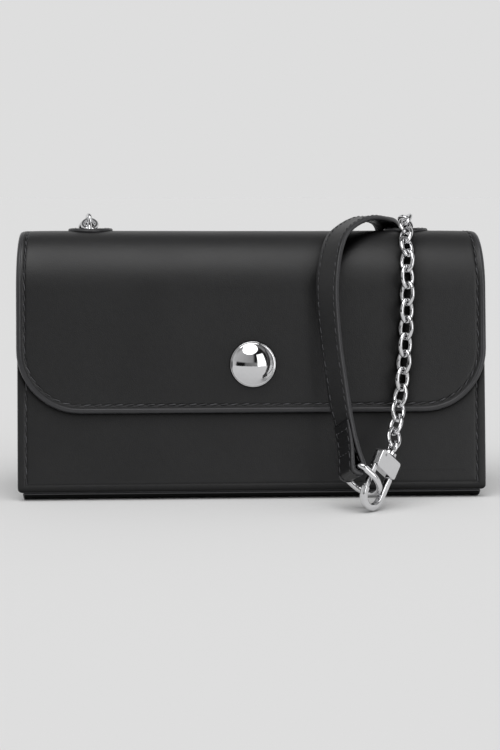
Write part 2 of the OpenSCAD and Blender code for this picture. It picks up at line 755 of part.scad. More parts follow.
// The block, with a channel for the gate along its left side and a bore for the swivel
block_round = 1.2;
bead_inset = 0.75;
bead_d = 0.5;
module clasp_body() {
    color(chrome) clasp() difference() {
        intersection() {
            translate([-block_w / 2, -block_d / 2, -block_h / 2]) cube([block_w, block_d, block_h]);
            rotate([90, 0, 0]) translate([0, 0, -block_d]) linear_extrude(2 * block_d) union() {
                square([block_w - 2 * block_round, block_h], center = true);
                square([block_w, block_h - 2 * block_round], center = true);
                for (x = [-1, 1], z = [-1, 1]) translate([x * (block_w / 2 - block_round),
                    z * (block_h / 2 - block_round)]) circle(r = block_round, $fn = 32);
            }
        }
        translate([0, gate_d / 2 + play, 0]) rotate([90, 0, 0]) linear_extrude(gate_d + 2 * play)
            polygon([[-block_w / 2 - over, gate_pin_z + gate_eye_r + play],
                [gate_pin_x + gate_eye_r + play, gate_pin_z + gate_eye_r + play],
                [gate_pin_x + gate_eye_r + play, gate_pin_z],
                [gate_pin_x + gate_eye_r + play + gate_reach, -block_h / 2 - over],
                [-block_w / 2 - over, -block_h / 2 - over]]);
        translate([0, 0, block_h / 2 - swivel_neck_h - swivel_head_h])
            cylinder(d = swivel_d + 2 * play, h = swivel_neck_h + swivel_head_h + over, $fn = 32);
        translate([0, 0, block_h / 2 - swivel_neck_h - swivel_head_h - 2 * play])
            cylinder(d = swivel_head_d + 4 * play, h = swivel_head_h + 2 * play, $fn = 32);
        translate([gate_pin_x, block_d, gate_pin_z]) rotate([90, 0, 0])
            cylinder(d = gate_pin_d, h = 2 * block_d, $fn = 24);
        for (y = [-1, 1]) translate([-block_w / 2, y * (block_d / 2 - bead_inset), -block_h])
            cylinder(d = bead_d, h = 2 * block_h, $fn = 16);
    }
}

// The hook: one leg in the block, a half turn and an open end facing the gate
module clasp_hook() {
    color(chrome) clasp() union() {
        translate([hook_r - hook_t / 2, -hook_d / 2, hook_z])
            cube([hook_t, hook_d, hook_leg]);
        translate([0, 0, hook_z]) rotate([90, 0, 0]) rotate([0, 0, 180])
            rotate_extrude(angle = 180, $fn = 72)
                translate([hook_r - hook_t / 2, -hook_d / 2]) square([hook_t, hook_d]);
        translate([-hook_r - hook_t / 2, -hook_d / 2, hook_z])
            cube([hook_t, hook_d, hook_tip]);
    }
}
hook_tip = 0.4;
gate_swing = 22;
gate_reach = (gate_pin_z + block_h / 2 + over) * tan(gate_swing + 1);

// The gate turns on its pin inside the channel and closes on the hook's open end
gate_d = 2;
gate_gap = 0.2;
gate_eye_r = 1.25;
module clasp_gate() {
    gate_end = hook_z + hook_tip + gate_gap;
    color(chrome) clasp() difference() {
        union() {
            translate([-hook_r - hook_t / 2 + play, -gate_d / 2, gate_end])
                cube([hook_t - 2 * gate_gap, gate_d, gate_pin_z - gate_end]);
            translate([gate_pin_x, gate_d / 2, gate_pin_z]) rotate([90, 0, 0])
                cylinder(r = gate_eye_r, h = gate_d, $fn = 32);
        }
        translate([gate_pin_x, gate_d, gate_pin_z]) rotate([90, 0, 0])
            cylinder(d = gate_pin_d + play, h = 2 * gate_d, $fn = 24);
    }
}

module gate_pin() {
    color(steel) clasp() translate([gate_pin_x, block_d / 2, gate_pin_z]) rotate([90, 0, 0])
        cylinder(d = gate_pin_d - play / 2, h = block_d, $fn = 24);
}

// A small leaf between the block and the gate
leaf = [0.5, 1.6, 3.2];
leaf_z = 0.6;
module gate_spring() {
    color(steel) clasp() translate([-block_w / 2 + hook_t + play, -leaf[1] / 2, -block_h / 2 + leaf_z])
        cube(leaf);
}

// The swivel: a headed post in the block, a flange and an eye for the last link, whose wire
// crosses the link's at a right angle
eye_z = block_h / 2 + swivel_flange_t + play + swivel_eye_r + swivel_eye_wire / 4;
last_link = len(right_joints) - 2;
last_way = unit(right_joints[last_link + 1] - right_joints[last_link]);
last_roll = last_link % 2 == 0 ? right_roll : right_roll - 90;
last_wire = about_x(about_y([cos(last_roll), sin(last_roll), 0], asin(last_way[0])),
    atan2(-last_way[1], last_way[2]));
eye_turn = atan2(turned([1, 0, 0], clasp_turn) * last_wire,
    turned([0, -1, 0], clasp_turn) * last_wire);
module clasp_swivel() {
    color(chrome) clasp() union() {
        translate([0, 0, block_h / 2 - swivel_neck_h - swivel_head_h - play])
            cylinder(d = swivel_head_d, h = swivel_head_h, $fn = 32);
        translate([0, 0, block_h / 2 - swivel_neck_h - play - over / 2])
            cylinder(d = swivel_d, h = swivel_neck_h + play + over, $fn = 32);
        translate([0, 0, block_h / 2 + play])
            cylinder(d = swivel_flange_d, h = swivel_flange_t, $fn = 40);
        translate([0, 0, eye_z]) rotate([90, 0, eye_turn]) rotate_extrude($fn = 40)
            translate([swivel_eye_r, 0]) circle(d = swivel_eye_wire, $fn = 20);
    }
}

seated() front_panel();
seated() base_panel();
seated() back_panel();
seated() mirror([1, 0, 0]) gusset();  // left_gusset
seated() gusset();  // right_gusset
seated() front_board();
seated() back_board();
seated() base_board();
seated() lining();
seated() slip_pocket();
seated() flap_root();
seated() eyelet_patch(-1);  // left_eyelet_patch
seated() eyelet_patch(1);  // right_eyelet_patch
seated() chain_tab(-1);  // left_chain_tab
seated() chain_tab(1);  // right_chain_tab
seated() anchor_ring(-1);  // left_anchor_ring
seated() anchor_ring(1);  // right_anchor_ring
seated() magnet_socket();
seated() socket_washer();
seated() right_chain_inner();
seated() chain_bend();
seated() left_chain();
seated() strap_arch();
seated() strap_back();
seated() strap_hank();
seated() hank_tie();
seated() far_ring();
seated() flap_outer();
seated() flap_lining();
seated() flap_board();
seated() stud_cap();
seated() stud_washer();
seated() magnet_stud();
seated() right_chain();
seated() strap_front();
seated() clasp_swivel();
seated() strap_ring();
seated() clasp_body();
seated() clasp_hook();
seated() gate_pin();
seated() gate_spring();
seated() clasp_gate();
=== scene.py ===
# %% [markdown]
# # A small black leather flap bag
#
# The real bag is a stiffened box of smooth calf leather. A flap covers its front, a chain and a leather
# strap meet at a clasp, and the rest of the strap is folded behind the bag. The solid frame of the bag is
# loaded first. Every leather piece is then drawn again as the thin sheet that it is, with its own edges,
# seams and stitches, and the metal keeps the frame's exact shapes or gets softer corners.

# %% Load the frame
import json
import math

import bpy
import numpy as np
from mathutils import Matrix, Vector, noise


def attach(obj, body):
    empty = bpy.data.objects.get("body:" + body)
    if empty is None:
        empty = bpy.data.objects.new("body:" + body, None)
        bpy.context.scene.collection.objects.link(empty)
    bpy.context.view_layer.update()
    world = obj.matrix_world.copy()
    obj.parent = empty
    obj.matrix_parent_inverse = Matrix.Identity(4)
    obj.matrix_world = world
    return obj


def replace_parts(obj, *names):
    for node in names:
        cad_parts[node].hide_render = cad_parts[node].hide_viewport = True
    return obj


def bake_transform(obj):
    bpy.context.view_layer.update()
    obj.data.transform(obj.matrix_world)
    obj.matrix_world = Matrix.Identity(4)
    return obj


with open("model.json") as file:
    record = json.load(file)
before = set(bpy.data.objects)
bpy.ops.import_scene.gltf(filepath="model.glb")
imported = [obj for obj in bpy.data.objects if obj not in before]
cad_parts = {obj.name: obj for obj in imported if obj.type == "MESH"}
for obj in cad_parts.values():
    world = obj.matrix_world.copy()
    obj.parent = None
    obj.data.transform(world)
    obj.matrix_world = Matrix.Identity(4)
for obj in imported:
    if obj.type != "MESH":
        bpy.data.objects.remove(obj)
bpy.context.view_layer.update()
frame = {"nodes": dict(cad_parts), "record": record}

# %% [markdown]
# ## The camera
#
# The photograph was taken from a little left of the bag's middle and slightly above it, with a long lens.
# A long lens keeps the sides of a box nearly parallel. The camera is placed by its position and the
# direction that it looks in, because both were measured and neither needs a target object.

# %% Camera
scene = bpy.context.scene
eye = Vector((-0.0332, -0.6731, 0.1268))
gaze = Vector((0.0489, 0.9920, -0.1153)).normalized()
lens = bpy.data.cameras.new("studio_camera")
lens.lens = 75.98
lens.sensor_fit = "VERTICAL"
lens.sensor_height = 36
lens.clip_start = 0.02
lens.clip_end = 60
camera = bpy.data.objects.new("studio_camera", lens)
camera.location = eye
camera.rotation_euler = gaze.to_track_quat("-Z", "Y").to_euler()
scene.collection.objects.link(camera)
scene.camera = camera
scene.view_settings.view_transform = "Standard"
print("the eye is", round(eye.length * 1000), "mm from the bag's foot")

# %% [markdown]
# ## Colours and nodes
#
# Colours are written as the hex values that a designer reads off a screen. Cycles works in linear light,
# so one function turns them. One more adds a node with its settings and links, which keeps each finish
# short enough to read in one go.

# %% Helpers for finishes
def linear(hex_colour):
    """Linear red, green, blue and alpha of an sRGB hex colour such as #202022."""
    parts = [int(hex_colour[i : i + 2], 16) / 255 for i in (1, 3, 5)]
    return [p / 12.92 if p <= 0.04045 else ((p + 0.055) / 1.055) ** 2.4 for p in parts] + [1.0]


def put(tree, kind, inputs=None, **settings):
    """Adds a shader node. An input is a value, a socket, or a node, which stands for its first output."""
    made = tree.nodes.new("ShaderNode" + kind)
    for name, value in settings.items():
        setattr(made, name, value)
    for name, value in (inputs or {}).items():
        if isinstance(value, bpy.types.Node):
            value = next(socket for socket in value.outputs if socket.enabled)
        if isinstance(value, bpy.types.NodeSocket):
            tree.links.new(value, made.inputs[name])
        else:
            made.inputs[name].default_value = value
    return made


def new_finish(name):
    """A new material, its empty node tree and the socket that gives the place on the object, in metres."""
    made = bpy.data.materials.new(name)
    made.use_nodes = True
    tree = made.node_tree
    tree.nodes.clear()
    return made, tree, put(tree, "TexCoord").outputs["Object"]


print("#808080 is", round(linear("#808080")[0], 3), "in linear light")

# %% [markdown]
# ## Calf leather
#
# The bag is chrome-tanned calf. A pigmented coat was sprayed on and ironed smooth, so the grain is almost
# closed: what the eye gets is a soft sheen that changes a little from place to place, over a fine net of
# creases. The cells of the grain are about half a millimetre across on the hide. They are drawn at 0.8 mm
# here, because finer ones fall between the picture's pixels. The coat is acrylic with an IOR near 1.46. In
# nooks, such as under the flap's edge, shade is painted in: the colour turns darker and the gloss duller
# there.

# %% Calf leather
def calf_leather(name, colour, worn_colour, smooth, rough, cell_mm):
    finish, tree, place = new_finish(name)
    cells = put(tree, "TexVoronoi", {"Vector": place, "Scale": 1000 / cell_mm, "Randomness": 0.9},
                feature="DISTANCE_TO_EDGE")
    creases = put(tree, "MapRange", {"Value": cells, "From Max": 0.18})
    pores = put(tree, "TexNoise", {"Vector": place, "Scale": 1000 / 2.6, "Detail": 5.0, "Roughness": 0.6})
    drape = put(tree, "TexNoise", {"Vector": place, "Scale": 1000 / 38, "Detail": 2.0})
    sheen_share = put(tree, "MapRange", {"Value": drape, "From Min": 0.3, "From Max": 0.7,
                      "To Min": smooth, "To Max": rough})
    tone = put(tree, "Mix", {"Factor": pores, "A": linear(colour), "B": linear(worn_colour)},
               data_type="RGBA")
    fine = put(tree, "Bump", {"Height": creases, "Strength": 0.35, "Distance": 0.00004})
    soft = put(tree, "Bump", {"Height": pores, "Strength": 0.4, "Distance": 0.00012, "Normal": fine})
    # Painted shade: ambient occlusion darkens the colour towards #040404 and dulls the gloss in nooks, such
    # as under the flap's edge.
    shade_occlusion = put(tree, "AmbientOcclusion", {"Distance": 0.008}, samples=8)
    unshaded_share = put(tree, "MapRange", {"Value": shade_occlusion.outputs["AO"], "From Min": 0.55, "From Max": 0.95})
    painted_shade_tone = put(tree, "Mix", {"Factor": unshaded_share, "A": linear("#040404"), "B": tone}, data_type="RGBA")
    painted_shade_gloss = put(tree, "MapRange", {"Value": unshaded_share, "To Min": 0.06, "To Max": 0.5})
    skin = put(tree, "BsdfPrincipled", {"Base Color": painted_shade_tone, "IOR": 1.46, "Specular IOR Level": painted_shade_gloss,
               "Roughness": sheen_share, "Normal": soft})
    put(tree, "OutputMaterial", {"Surface": skin})
    return finish


bag_grain, strap_grain = 0.8, 0.7
bag_calf = calf_leather("ironed_calf_leather", "#121213", "#1b1b1c", 0.40, 0.48, bag_grain)
strap_calf = calf_leather("strap_calf_leather", "#111112", "#1b1b1c", 0.34, 0.42, strap_grain)
print("leather grain cells:", bag_grain, "mm on the bag and", strap_grain, "mm on the strap")

# %% [markdown]
# ## Painted edges, suede and thread
#
# Where leather is cut, its edge is filled and painted with several coats of acrylic, which dries to a
# smooth rounded bead, a little lighter than the hide. The inside is suede split: cut fibres that stand up,
# scatter light and show no gloss. The thread is bonded polyester, twisted, a shade lighter than the leather.

# %% Painted edge
def surface(tree, pattern, dark, light, inputs, height=None, strength=0.0, depth=0.0):
    """Ends a finish: its colour runs from dark to light with a pattern, over bumps some metres deep."""
    tone = put(tree, "Mix", {"Factor": pattern, "A": linear(dark), "B": linear(light)}, data_type="RGBA")
    inputs = {"Base Color": tone, **inputs}
    if height:
        inputs["Normal"] = put(tree, "Bump", {"Height": height, "Strength": strength, "Distance": depth})
    put(tree, "OutputMaterial", {"Surface": put(tree, "BsdfPrincipled", inputs)})


edge_paint, tree, place = new_finish("acrylic_edge_paint")
brush = put(tree, "TexNoise", {"Vector": place, "Scale": 1000 / 1.5, "Detail": 3.0})
surface(tree, brush, "#2c2c2e", "#38383a", {"Roughness": 0.38, "IOR": 1.48}, brush, 0.3, 0.0001)

# %% Suede split
suede, tree, place = new_finish("suede_split")
nap = put(tree, "TexNoise", {"Vector": place, "Scale": 1000 / 0.6, "Detail": 6.0, "Roughness": 0.7})
brushed = put(tree, "TexNoise", {"Vector": place, "Scale": 1000 / 14, "Detail": 3.0})
surface(tree, brushed, "#1b1b1d", "#29292b",
        {"Roughness": 0.92, "Sheen Weight": 0.25, "Sheen Roughness": 0.5}, nap, 0.7, 0.00025)

# %% Thread, with a twist every 0.6 mm
thread, tree, place = new_finish("bonded_polyester_thread")
twist = put(tree, "TexWave", {"Vector": place, "Scale": 1000 / 0.6 / 20, "Distortion": 1.0},
            bands_direction="DIAGONAL").outputs["Fac"]
surface(tree, twist, "#242426", "#414144", {"Roughness": 0.5}, twist, 0.5, 0.0001)
print("soft finishes:", edge_paint.name, suede.name, thread.name)

# %% [markdown]
# ## Nickel plate, steel, board and elastic
#
# The fittings are zinc castings, polished and plated with bright nickel. Almost all that they show is what
# stands around them, so the finish is a metal of low roughness with the faintest waviness left by the
# polishing wheel. The hidden rings and washers are plain zinc-plated steel. The boards are pressed leather
# fibre, and the tie round the folded strap is a knitted elastic band.

# %% Bright nickel plate
nickel, tree, place = new_finish("bright_nickel_plate")
wheel = put(tree, "TexNoise", {"Vector": place, "Scale": 1000 / 4, "Detail": 2.0})
haze = put(tree, "TexNoise", {"Vector": place, "Scale": 1000 / 1.2, "Detail": 5.0, "Roughness": 0.7})
gloss = put(tree, "MapRange", {"Value": haze, "From Min": 0.35, "From Max": 0.75, "To Min": 0.045,
            "To Max": 0.11})
surface(tree, haze, "#d4d4d6", "#e2e2e3", {"Metallic": 1.0, "Roughness": gloss}, wheel, 0.15, 0.0002)

# %% Zinc-plated steel
steel, tree, place = new_finish("zinc_plated_steel")
grain = put(tree, "TexNoise", {"Vector": place, "Scale": 1000 / 0.9, "Detail": 6.0})
gloss = put(tree, "MapRange", {"Value": grain, "To Min": 0.25, "To Max": 0.45})
surface(tree, grain, "#9a9a9c", "#b9b9ba", {"Metallic": 1.0, "Roughness": gloss})

# %% Pressed fibre board
board, tree, place = new_finish("pressed_fibre_board")
pulp = put(tree, "TexNoise", {"Vector": place, "Scale": 1000 / 1.8, "Detail": 8.0, "Roughness": 0.75})
surface(tree, pulp, "#6f6453", "#a2937a", {"Roughness": 0.85}, pulp, 0.4, 0.0002)

# %% Knitted elastic, ribs 0.8 mm apart
elastic, tree, place = new_finish("knitted_elastic")
ribs = put(tree, "TexWave", {"Vector": place, "Scale": 1000 / 0.8 / 20}, bands_direction="X").outputs["Fac"]
surface(tree, ribs, "#0d0d0e", "#222224", {"Roughness": 0.8}, ribs, 0.8, 0.0002)
print("hard finishes:", nickel.name, steel.name, board.name, elastic.name)

# %% Give every frame node its finish
finish_of_slot = {"body_leather": bag_calf, "strap_leather": strap_calf, "lining_suede": suede,
                  "board": board, "tie_elastic": elastic, "chain_metal": nickel,
                  "polished_metal": nickel, "steel": steel}
for part in frame["record"]["subparts"]:
    solid = frame["nodes"][part["node"]]
    solid.data.materials.clear()
    solid.data.materials.append(finish_of_slot[part["material_slot"]])

# %% [markdown]
# ## The bag's side view
#
# All of the bag's sheets follow one outline, seen from the side: the flat base, the leaning front, a wide
# roll into the top, a tighter roll at the rear edge and the upright back. If each point is named by how far
# it lies along that outline and how deep under it, a flat pattern piece can be bent round the bag by one
# function, as a maker bends leather round a block. Lengths are in millimetres until a mesh is made.

# %% The outline, in millimetres
lean = math.radians(8)
seat = -1.8011
half_width, half_depth, top = 97.0, 28.0, 107.0
foot_r, shoulder_r, rear_r = 6.0, 24.0, 11.0


def leaning(z, out=0.0):
    """Where the leaning front is at a height, or a plane that lies further out by some millimetres."""
    return -half_depth + z * math.tan(lean) - out / math.cos(lean)


low_front = (leaning(foot_r, -foot_r), foot_r)
shoulder = (leaning(top - shoulder_r, -shoulder_r), top - shoulder_r)
top_rear = (half_depth - rear_r, top - rear_r)
low_rear = (half_depth - foot_r, foot_r)


def bend(centre, radius, start, end):
    return ("arc", centre, radius, math.radians(start), math.radians(end))


def straight(y0, z0, y1, z1):
    return ("line", (y0, z0), (y1, z1))


def rim(centre, radius, angle):
    return (centre[0] + radius * math.cos(math.radians(angle)),
            centre[1] + radius * math.sin(math.radians(angle)))


outline = [
    straight(0, 0, low_front[0], 0),
    bend(low_front, foot_r, 270, 172),
    straight(*rim(low_front, foot_r, 172), *rim(shoulder, shoulder_r, 172)),
    bend(shoulder, shoulder_r, 172, 90),
    straight(shoulder[0], top, top_rear[0], top),
    bend(top_rear, rear_r, 90, 0),
    straight(half_depth, top_rear[1], half_depth, foot_r),
    bend(low_rear, foot_r, 0, -90),
    straight(low_rear[0], 0, 0, 0),
]
stretch = [math.dist(p[1], p[2]) if p[0] == "line" else p[2] * abs(p[4] - p[3]) for p in outline]
starts = np.concatenate([[0], np.cumsum(stretch)])
girth = starts[-1]
print("the outline is", round(girth, 1), "mm round")


# %% Points round the outline
def around(run, depth=0.0):
    """Points y, z at run mm from the middle of the base, forwards and up, depth mm under the outline."""
    run, depth = np.broadcast_arrays(np.asarray(run, float) % girth, np.asarray(depth, float))
    y, z, ny, nz = (np.zeros(run.shape) for _ in range(4))
    for k, piece in enumerate(outline):
        here = (run >= starts[k]) & (run <= starts[k + 1])
        share = (run[here] - starts[k]) / stretch[k]
        if piece[0] == "line":
            (y0, z0), (y1, z1) = piece[1], piece[2]
            y[here], z[here] = y0 + (y1 - y0) * share, z0 + (z1 - z0) * share
            ny[here], nz[here] = (z0 - z1) / stretch[k], (y1 - y0) / stretch[k]
        else:
            (cy, cz), radius, a0, a1 = piece[1:]
            angle = a0 + (a1 - a0) * share
            ny[here], nz[here] = np.cos(angle), np.sin(angle)
            y[here], z[here] = cy + radius * ny[here], cz + radius * nz[here]
    return y - ny * depth, z - nz * depth, ny, nz


def first_run(test):
    """The first place along the outline where test(y, z) holds."""
    tried = np.arange(0, girth, 0.02)
    y, z, _, _ = around(tried)
    return float(tried[np.argmax(test(y, z, tried))])


chain_y = 13.5
front_seam = first_run(lambda y, z, s: (y < low_front[0]) & (z >= 3.3))
flap_edge = first_run(lambda y, z, s: (y < 0) & (z >= 36))
front_top = first_run(lambda y, z, s: (y < 0) & (z >= 82))
mouth = first_run(lambda y, z, s: (z > 90) & (y >= 2))
fold = first_run(lambda y, z, s: (z > 90) & (y >= 2.5))
eyelet = first_run(lambda y, z, s: (z > 90) & (y >= chain_y))
root_edge = first_run(lambda y, z, s: (y > 25) & (z <= 80) & (s > eyelet))
back_seam = first_run(lambda y, z, s: (y > 20) & (z <= 3.3) & (s > eyelet))
print("the flap is", round(root_edge - flap_edge, 1), "mm long from its lower edge to its root seam")

# %% [markdown]
# ## From a flat pattern piece to a thick sheet
#
# A sheet is drawn as loops that shrink inwards from the cut edge, fine near the edge and wide further in,
# and rows that fill the middle. So the rounded cut edge and the sewn groove get many points and the plain
# middle few. A grid cut by a curve, or a subdivided plate, would need the same fine mesh all over.

# %% Mesh from points and faces
def make(name, points, faces, finishes, body="bag", face_finish=None):
    """A smooth mesh from points in millimetres, seated where the bag stands."""
    points = np.asarray(points, float).reshape(-1, 3)
    mesh = bpy.data.meshes.new(name)
    mesh.from_pydata(((points + (0, seat, 0)) / 1000).tolist(), [], faces)
    for finish in finishes:
        mesh.materials.append(finish)
    if face_finish is not None:
        mesh.polygons.foreach_set("material_index", np.asarray(face_finish, np.int32))
    mesh.polygons.foreach_set("use_smooth", np.ones(len(mesh.polygons), bool))
    mesh.validate()
    made = bpy.data.objects.new(name, mesh)
    scene.collection.objects.link(made)
    if body:
        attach(made, body)
    return made


def tube(rows, n, ring=False, turned=False, lids=True):
    """Faces round rows of n points each. A ring joins its last row to its first, a tube can have two lids."""
    faces = []
    for k in range(rows if ring else rows - 1):
        here, there = k * n, (k + 1) % rows * n
        for i in range(n):
            j = (i + 1) % n
            face = (here + i, here + j, there + j, there + i)
            faces.append((face[0], *face[:0:-1]) if turned else face)
    if lids and not ring:
        first, last = tuple(range(n)), tuple(range((rows - 1) * n, rows * n))
        faces += [first, last[::-1]] if turned else [first[::-1], last]
    return faces


print("a tube of 3 rows of 8 points has", len(tube(3, 8)), "faces with its lids")


# %% Loops of a rounded rectangle
def pattern_loop(x0, x1, s0, s1, corners, inset, across, down, turn=10):
    """A closed loop of (x, run), inset from a rounded rectangle, and how many points each side has.

    Corners: low left, low right, top left, top right.
    """
    low_l, low_r, top_l, top_r = [max(r - inset, 0.12) for r in corners]
    x0, x1, s0, s1 = x0 + inset, x1 - inset, s0 + inset, s1 - inset

    def side(x, sign, top, low):
        a = np.linspace(0, np.pi / 2, turn + 1)
        upper = np.stack([x + sign * top * (1 - np.sin(a)), s1 - top + top * np.cos(a)], 1)
        lower = np.stack([x + sign * low * (1 - np.cos(a)), s0 + low - low * np.sin(a)], 1)
        middle = np.linspace(upper[-1], lower[0], down + 1)[1:-1]
        return np.concatenate([upper, middle, lower])

    left, right = side(x0, 1, top_l, low_l), side(x1, -1, top_r, low_r)
    bottom = np.linspace(left[-1], right[-1], across + 1)[1:-1]
    upmost = np.linspace(right[0], left[0], across + 1)[1:-1]
    return np.concatenate([left, bottom, right[::-1], upmost]), len(left)


small_loop, side_count = pattern_loop(0, 20, 0, 20, (3, 3, 3, 3), 0, 4, 4)
print("a loop round a 20 mm square has", len(small_loop), "points,", side_count, "of them on each side")


# %% The sheet itself
def sheet(name, x_span, run_span, corners, depths, finishes, body="bag",
          cut_r=0.4, reach=9.0, groove=None, crown=0.0, groove_at=0.0, relief=None, cut_w=None):
    """A thick sheet bent round the bag, between the outer and the inner depth, with rounded cut edges."""
    (x0, x1), (s0, s1), (outer, inner), spacing = x_span, run_span, depths, 2.0
    across, down = max(int((x1 - x0) / spacing), 4), max(int((s1 - s0) / spacing), 4)
    cut_r = min(cut_r, (inner - outer) * 0.45)
    cut_w = cut_w or cut_r
    edge = [0.0] + [cut_w * v for v in (0.12, 0.35, 0.65, 1.0)]
    if groove:
        near = [groove_at + v for v in (-1.3, -0.8, -0.45, -0.2, 0.0, 0.2, 0.45, 0.8, 1.4)]
        insets = edge + [v for v in near if v > cut_w * 1.1] + [groove_at + 2.4, groove_at + 4]
        insets += [*np.arange(groove_at + 5.5, reach - 1, 1.5), reach]
    else:
        insets = edge + [reach * 0.35, reach]
    rounding = [cut_r * (1 - math.sqrt(max(1 - (1 - min(d / cut_w, 1)) ** 2, 0))) for d in insets]
    # Outer face from its middle to the cut edge, then the inner face back to its middle
    loops, kinds = [], []
    for d, drop in reversed(list(zip(insets, rounding))):
        loop, n_side = pattern_loop(x0, x1, s0, s1, corners, d, across, down)
        sink = groove * math.exp(-(((d - groove_at) / 0.5) ** 2)) if groove else 0
        rise = crown * (1 - math.exp(-max(d - groove_at, 0) / 5))
        loops.append((loop, outer + drop + sink - rise, True))
        kinds.append(0 if d > cut_w * 1.01 else 1)
    for d, drop in zip(insets, rounding):
        loop, _ = pattern_loop(x0, x1, s0, s1, corners, d, across, down)
        loops.append((loop, inner - drop, False))
        kinds.append(1 if d < cut_w * 0.99 else 2)

    n_loop = len(loops[0][0])
    flat = [loop for loop, _, _ in loops]
    deep = [np.full(n_loop, depth) for _, depth, _ in loops]
    faces = tube(len(loops), n_loop, turned=True, lids=False)
    tint = [kinds[k if k < len(insets) else k + 1] for k in range(len(loops) - 1) for _ in range(n_loop)]
    # A grid fills the middle of each face
    for first, (loop, depth, out) in ((0, loops[0]), ((len(loops) - 1) * n_loop, loops[-1])):
        left = list(range(n_side))
        bottom = list(range(n_side, n_side + across - 1))
        right = list(range(n_side + across - 1, 2 * n_side + across - 1))[::-1]
        top_row = list(range(2 * n_side + across - 1, n_loop))[::-1]
        base = sum(len(f) for f in flat)
        ids = np.zeros((n_side, across + 1), int)
        ids[:, 0], ids[:, across] = left, right
        ids[0, 1:across], ids[-1, 1:across] = top_row, bottom
        ids += first
        share = np.arange(1, across) / across
        inner_rows = [loop[left[k]] * (1 - share[:, None]) + loop[right[k]] * share[:, None]
                      for k in range(1, n_side - 1)]
        ids[1:-1, 1:across] = base + np.arange((n_side - 2) * (across - 1)).reshape(n_side - 2, across - 1)
        flat.append(np.concatenate(inner_rows))
        deep.append(np.full(len(flat[-1]), depth))
        for k in range(n_side - 1):
            for j in range(across):
                quad = (ids[k, j], ids[k, j + 1], ids[k + 1, j + 1], ids[k + 1, j])
                faces.append(tuple(int(v) for v in (quad[::-1] if out else quad)))
                tint.append(0 if out else 2)
    flat, deep = np.concatenate(flat), np.concatenate(deep)
    if relief:
        deep = deep + relief(flat[:, 0], flat[:, 1])
    y, z, _, _ = around(flat[:, 1], deep)
    made = make(name, np.stack([flat[:, 0], y, z], 1), faces, finishes, body, tint)
    print(name, "has", len(made.data.vertices), "points")
    return made


# %% [markdown]
# ## Softness
#
# Leather glued over board isn't a perfect plane: it pulls in at the seams and swells by a few tenths of a
# millimetre between them. A cloth simulation would pump the sheet up like a cushion, which a stiffened
# panel never does. So the swell is worked out from slow, seeded noise and added to each sheet's depth.

# %% Slow swell of a stiffened panel
def swell(height_mm, wave_mm, seed):
    """A function that gives how far a sheet's points lie under its flat shape."""
    def relief(x, run):
        rise = [noise.noise(Vector((a / wave_mm, b / wave_mm, seed))) for a, b in zip(x, run)]
        return -height_mm * np.array(rise)
    return relief


one_place = -swell(0.3, 40, 1)([10.0], [50.0])[0]
print("a panel swells by", round(float(one_place), 3), "mm at one place")

# %% [markdown]
# ## Stitches
#
# A lockstitch shows as short slanted bars, each diving into its hole. They catch light one by one, so they
# are real little bodies here and not a drawn line. Each is a small spindle that rises a little from the
# groove and sinks at both ends.

# %% Rows of stitches
def unit(vectors):
    """Vectors of length one with the same directions."""
    return vectors / np.linalg.norm(vectors, axis=-1, keepdims=True)


def lengths(path):
    """How far each point of a path lies from its start."""
    return np.concatenate([[0], np.cumsum(np.linalg.norm(np.diff(path, axis=0), axis=1))])


def sew(name, path, up, body="bag", slot="body_leather", pitch=4.3, length=3.4, wire=0.62, slant=0.14,
        lift=0.12):
    """Stitches along a path, on a surface whose outward direction at each point is up. All in millimetres."""
    path, up = np.asarray(path, float), np.asarray(up, float)
    along = lengths(path)
    count = max(int(along[-1] / pitch), 1)
    stations = (-1, -0.86, -0.5, 0, 0.5, 0.86, 1)
    girths = (0.35, 0.75, 0.97, 1, 0.97, 0.75, 0.35)
    heights = (-0.75, -0.2, 0.6, 1.0, 0.6, -0.2, -0.75)
    ring = np.linspace(0, 2 * np.pi, 7)[:-1]
    bar = tube(len(stations), len(ring))

    def at(values, run):
        return np.array([np.interp(run, along, values[:, k]) for k in range(3)])

    points, faces = [], []
    for c in (np.arange(count) + 0.5) * along[-1] / count:
        spot, n, t = at(path, c), at(up, c), at(path, c + 0.5) - at(path, c - 0.5)
        n, t = unit(n), unit(t)
        t = t - n * (t @ n)
        b = np.cross(n, unit(t))
        t = t * math.cos(slant) + b * math.sin(slant)
        b = np.cross(n, t)
        base = len(points)
        for u, g, h in zip(stations, girths, heights):
            middle = spot + t * u * length / 2 + n * (lift * h)
            points += [middle + wire / 2 * g * (b * math.cos(a) + n * 0.8 * math.sin(a)) for a in ring]
        faces += [tuple(base + v for v in face) for face in bar]
    made = make(name, points, faces, [thread], body)
    made["stitches"] = count
    return made


def on_bag(x, run, depth):
    """Points and outward directions on the bag at places of a pattern piece."""
    y, z, ny, nz = around(run, depth)
    x = np.broadcast_to(np.asarray(x, float), y.shape)
    return np.stack([x, y, z], 1), np.stack([np.zeros_like(y), ny, nz], 1)


print("one stitch is drawn with 42 points")

# %% Cutting one mesh out of another
def bake(target, modifier):
    """Writes a modifier's result into the mesh and takes the modifier away."""
    seen = bpy.context.evaluated_depsgraph_get()
    mesh = bpy.data.meshes.new_from_object(target.evaluated_get(seen))
    target.modifiers.remove(modifier)
    old, target.data = target.data, mesh
    bpy.data.meshes.remove(old)


def subtract(target, tool):
    """Cuts a mesh out of another and throws the tool away."""
    cut = target.modifiers.new("cut", "BOOLEAN")
    cut.operation, cut.solver, cut.object = "DIFFERENCE", "EXACT", tool
    bake(target, cut)
    bpy.data.objects.remove(tool)


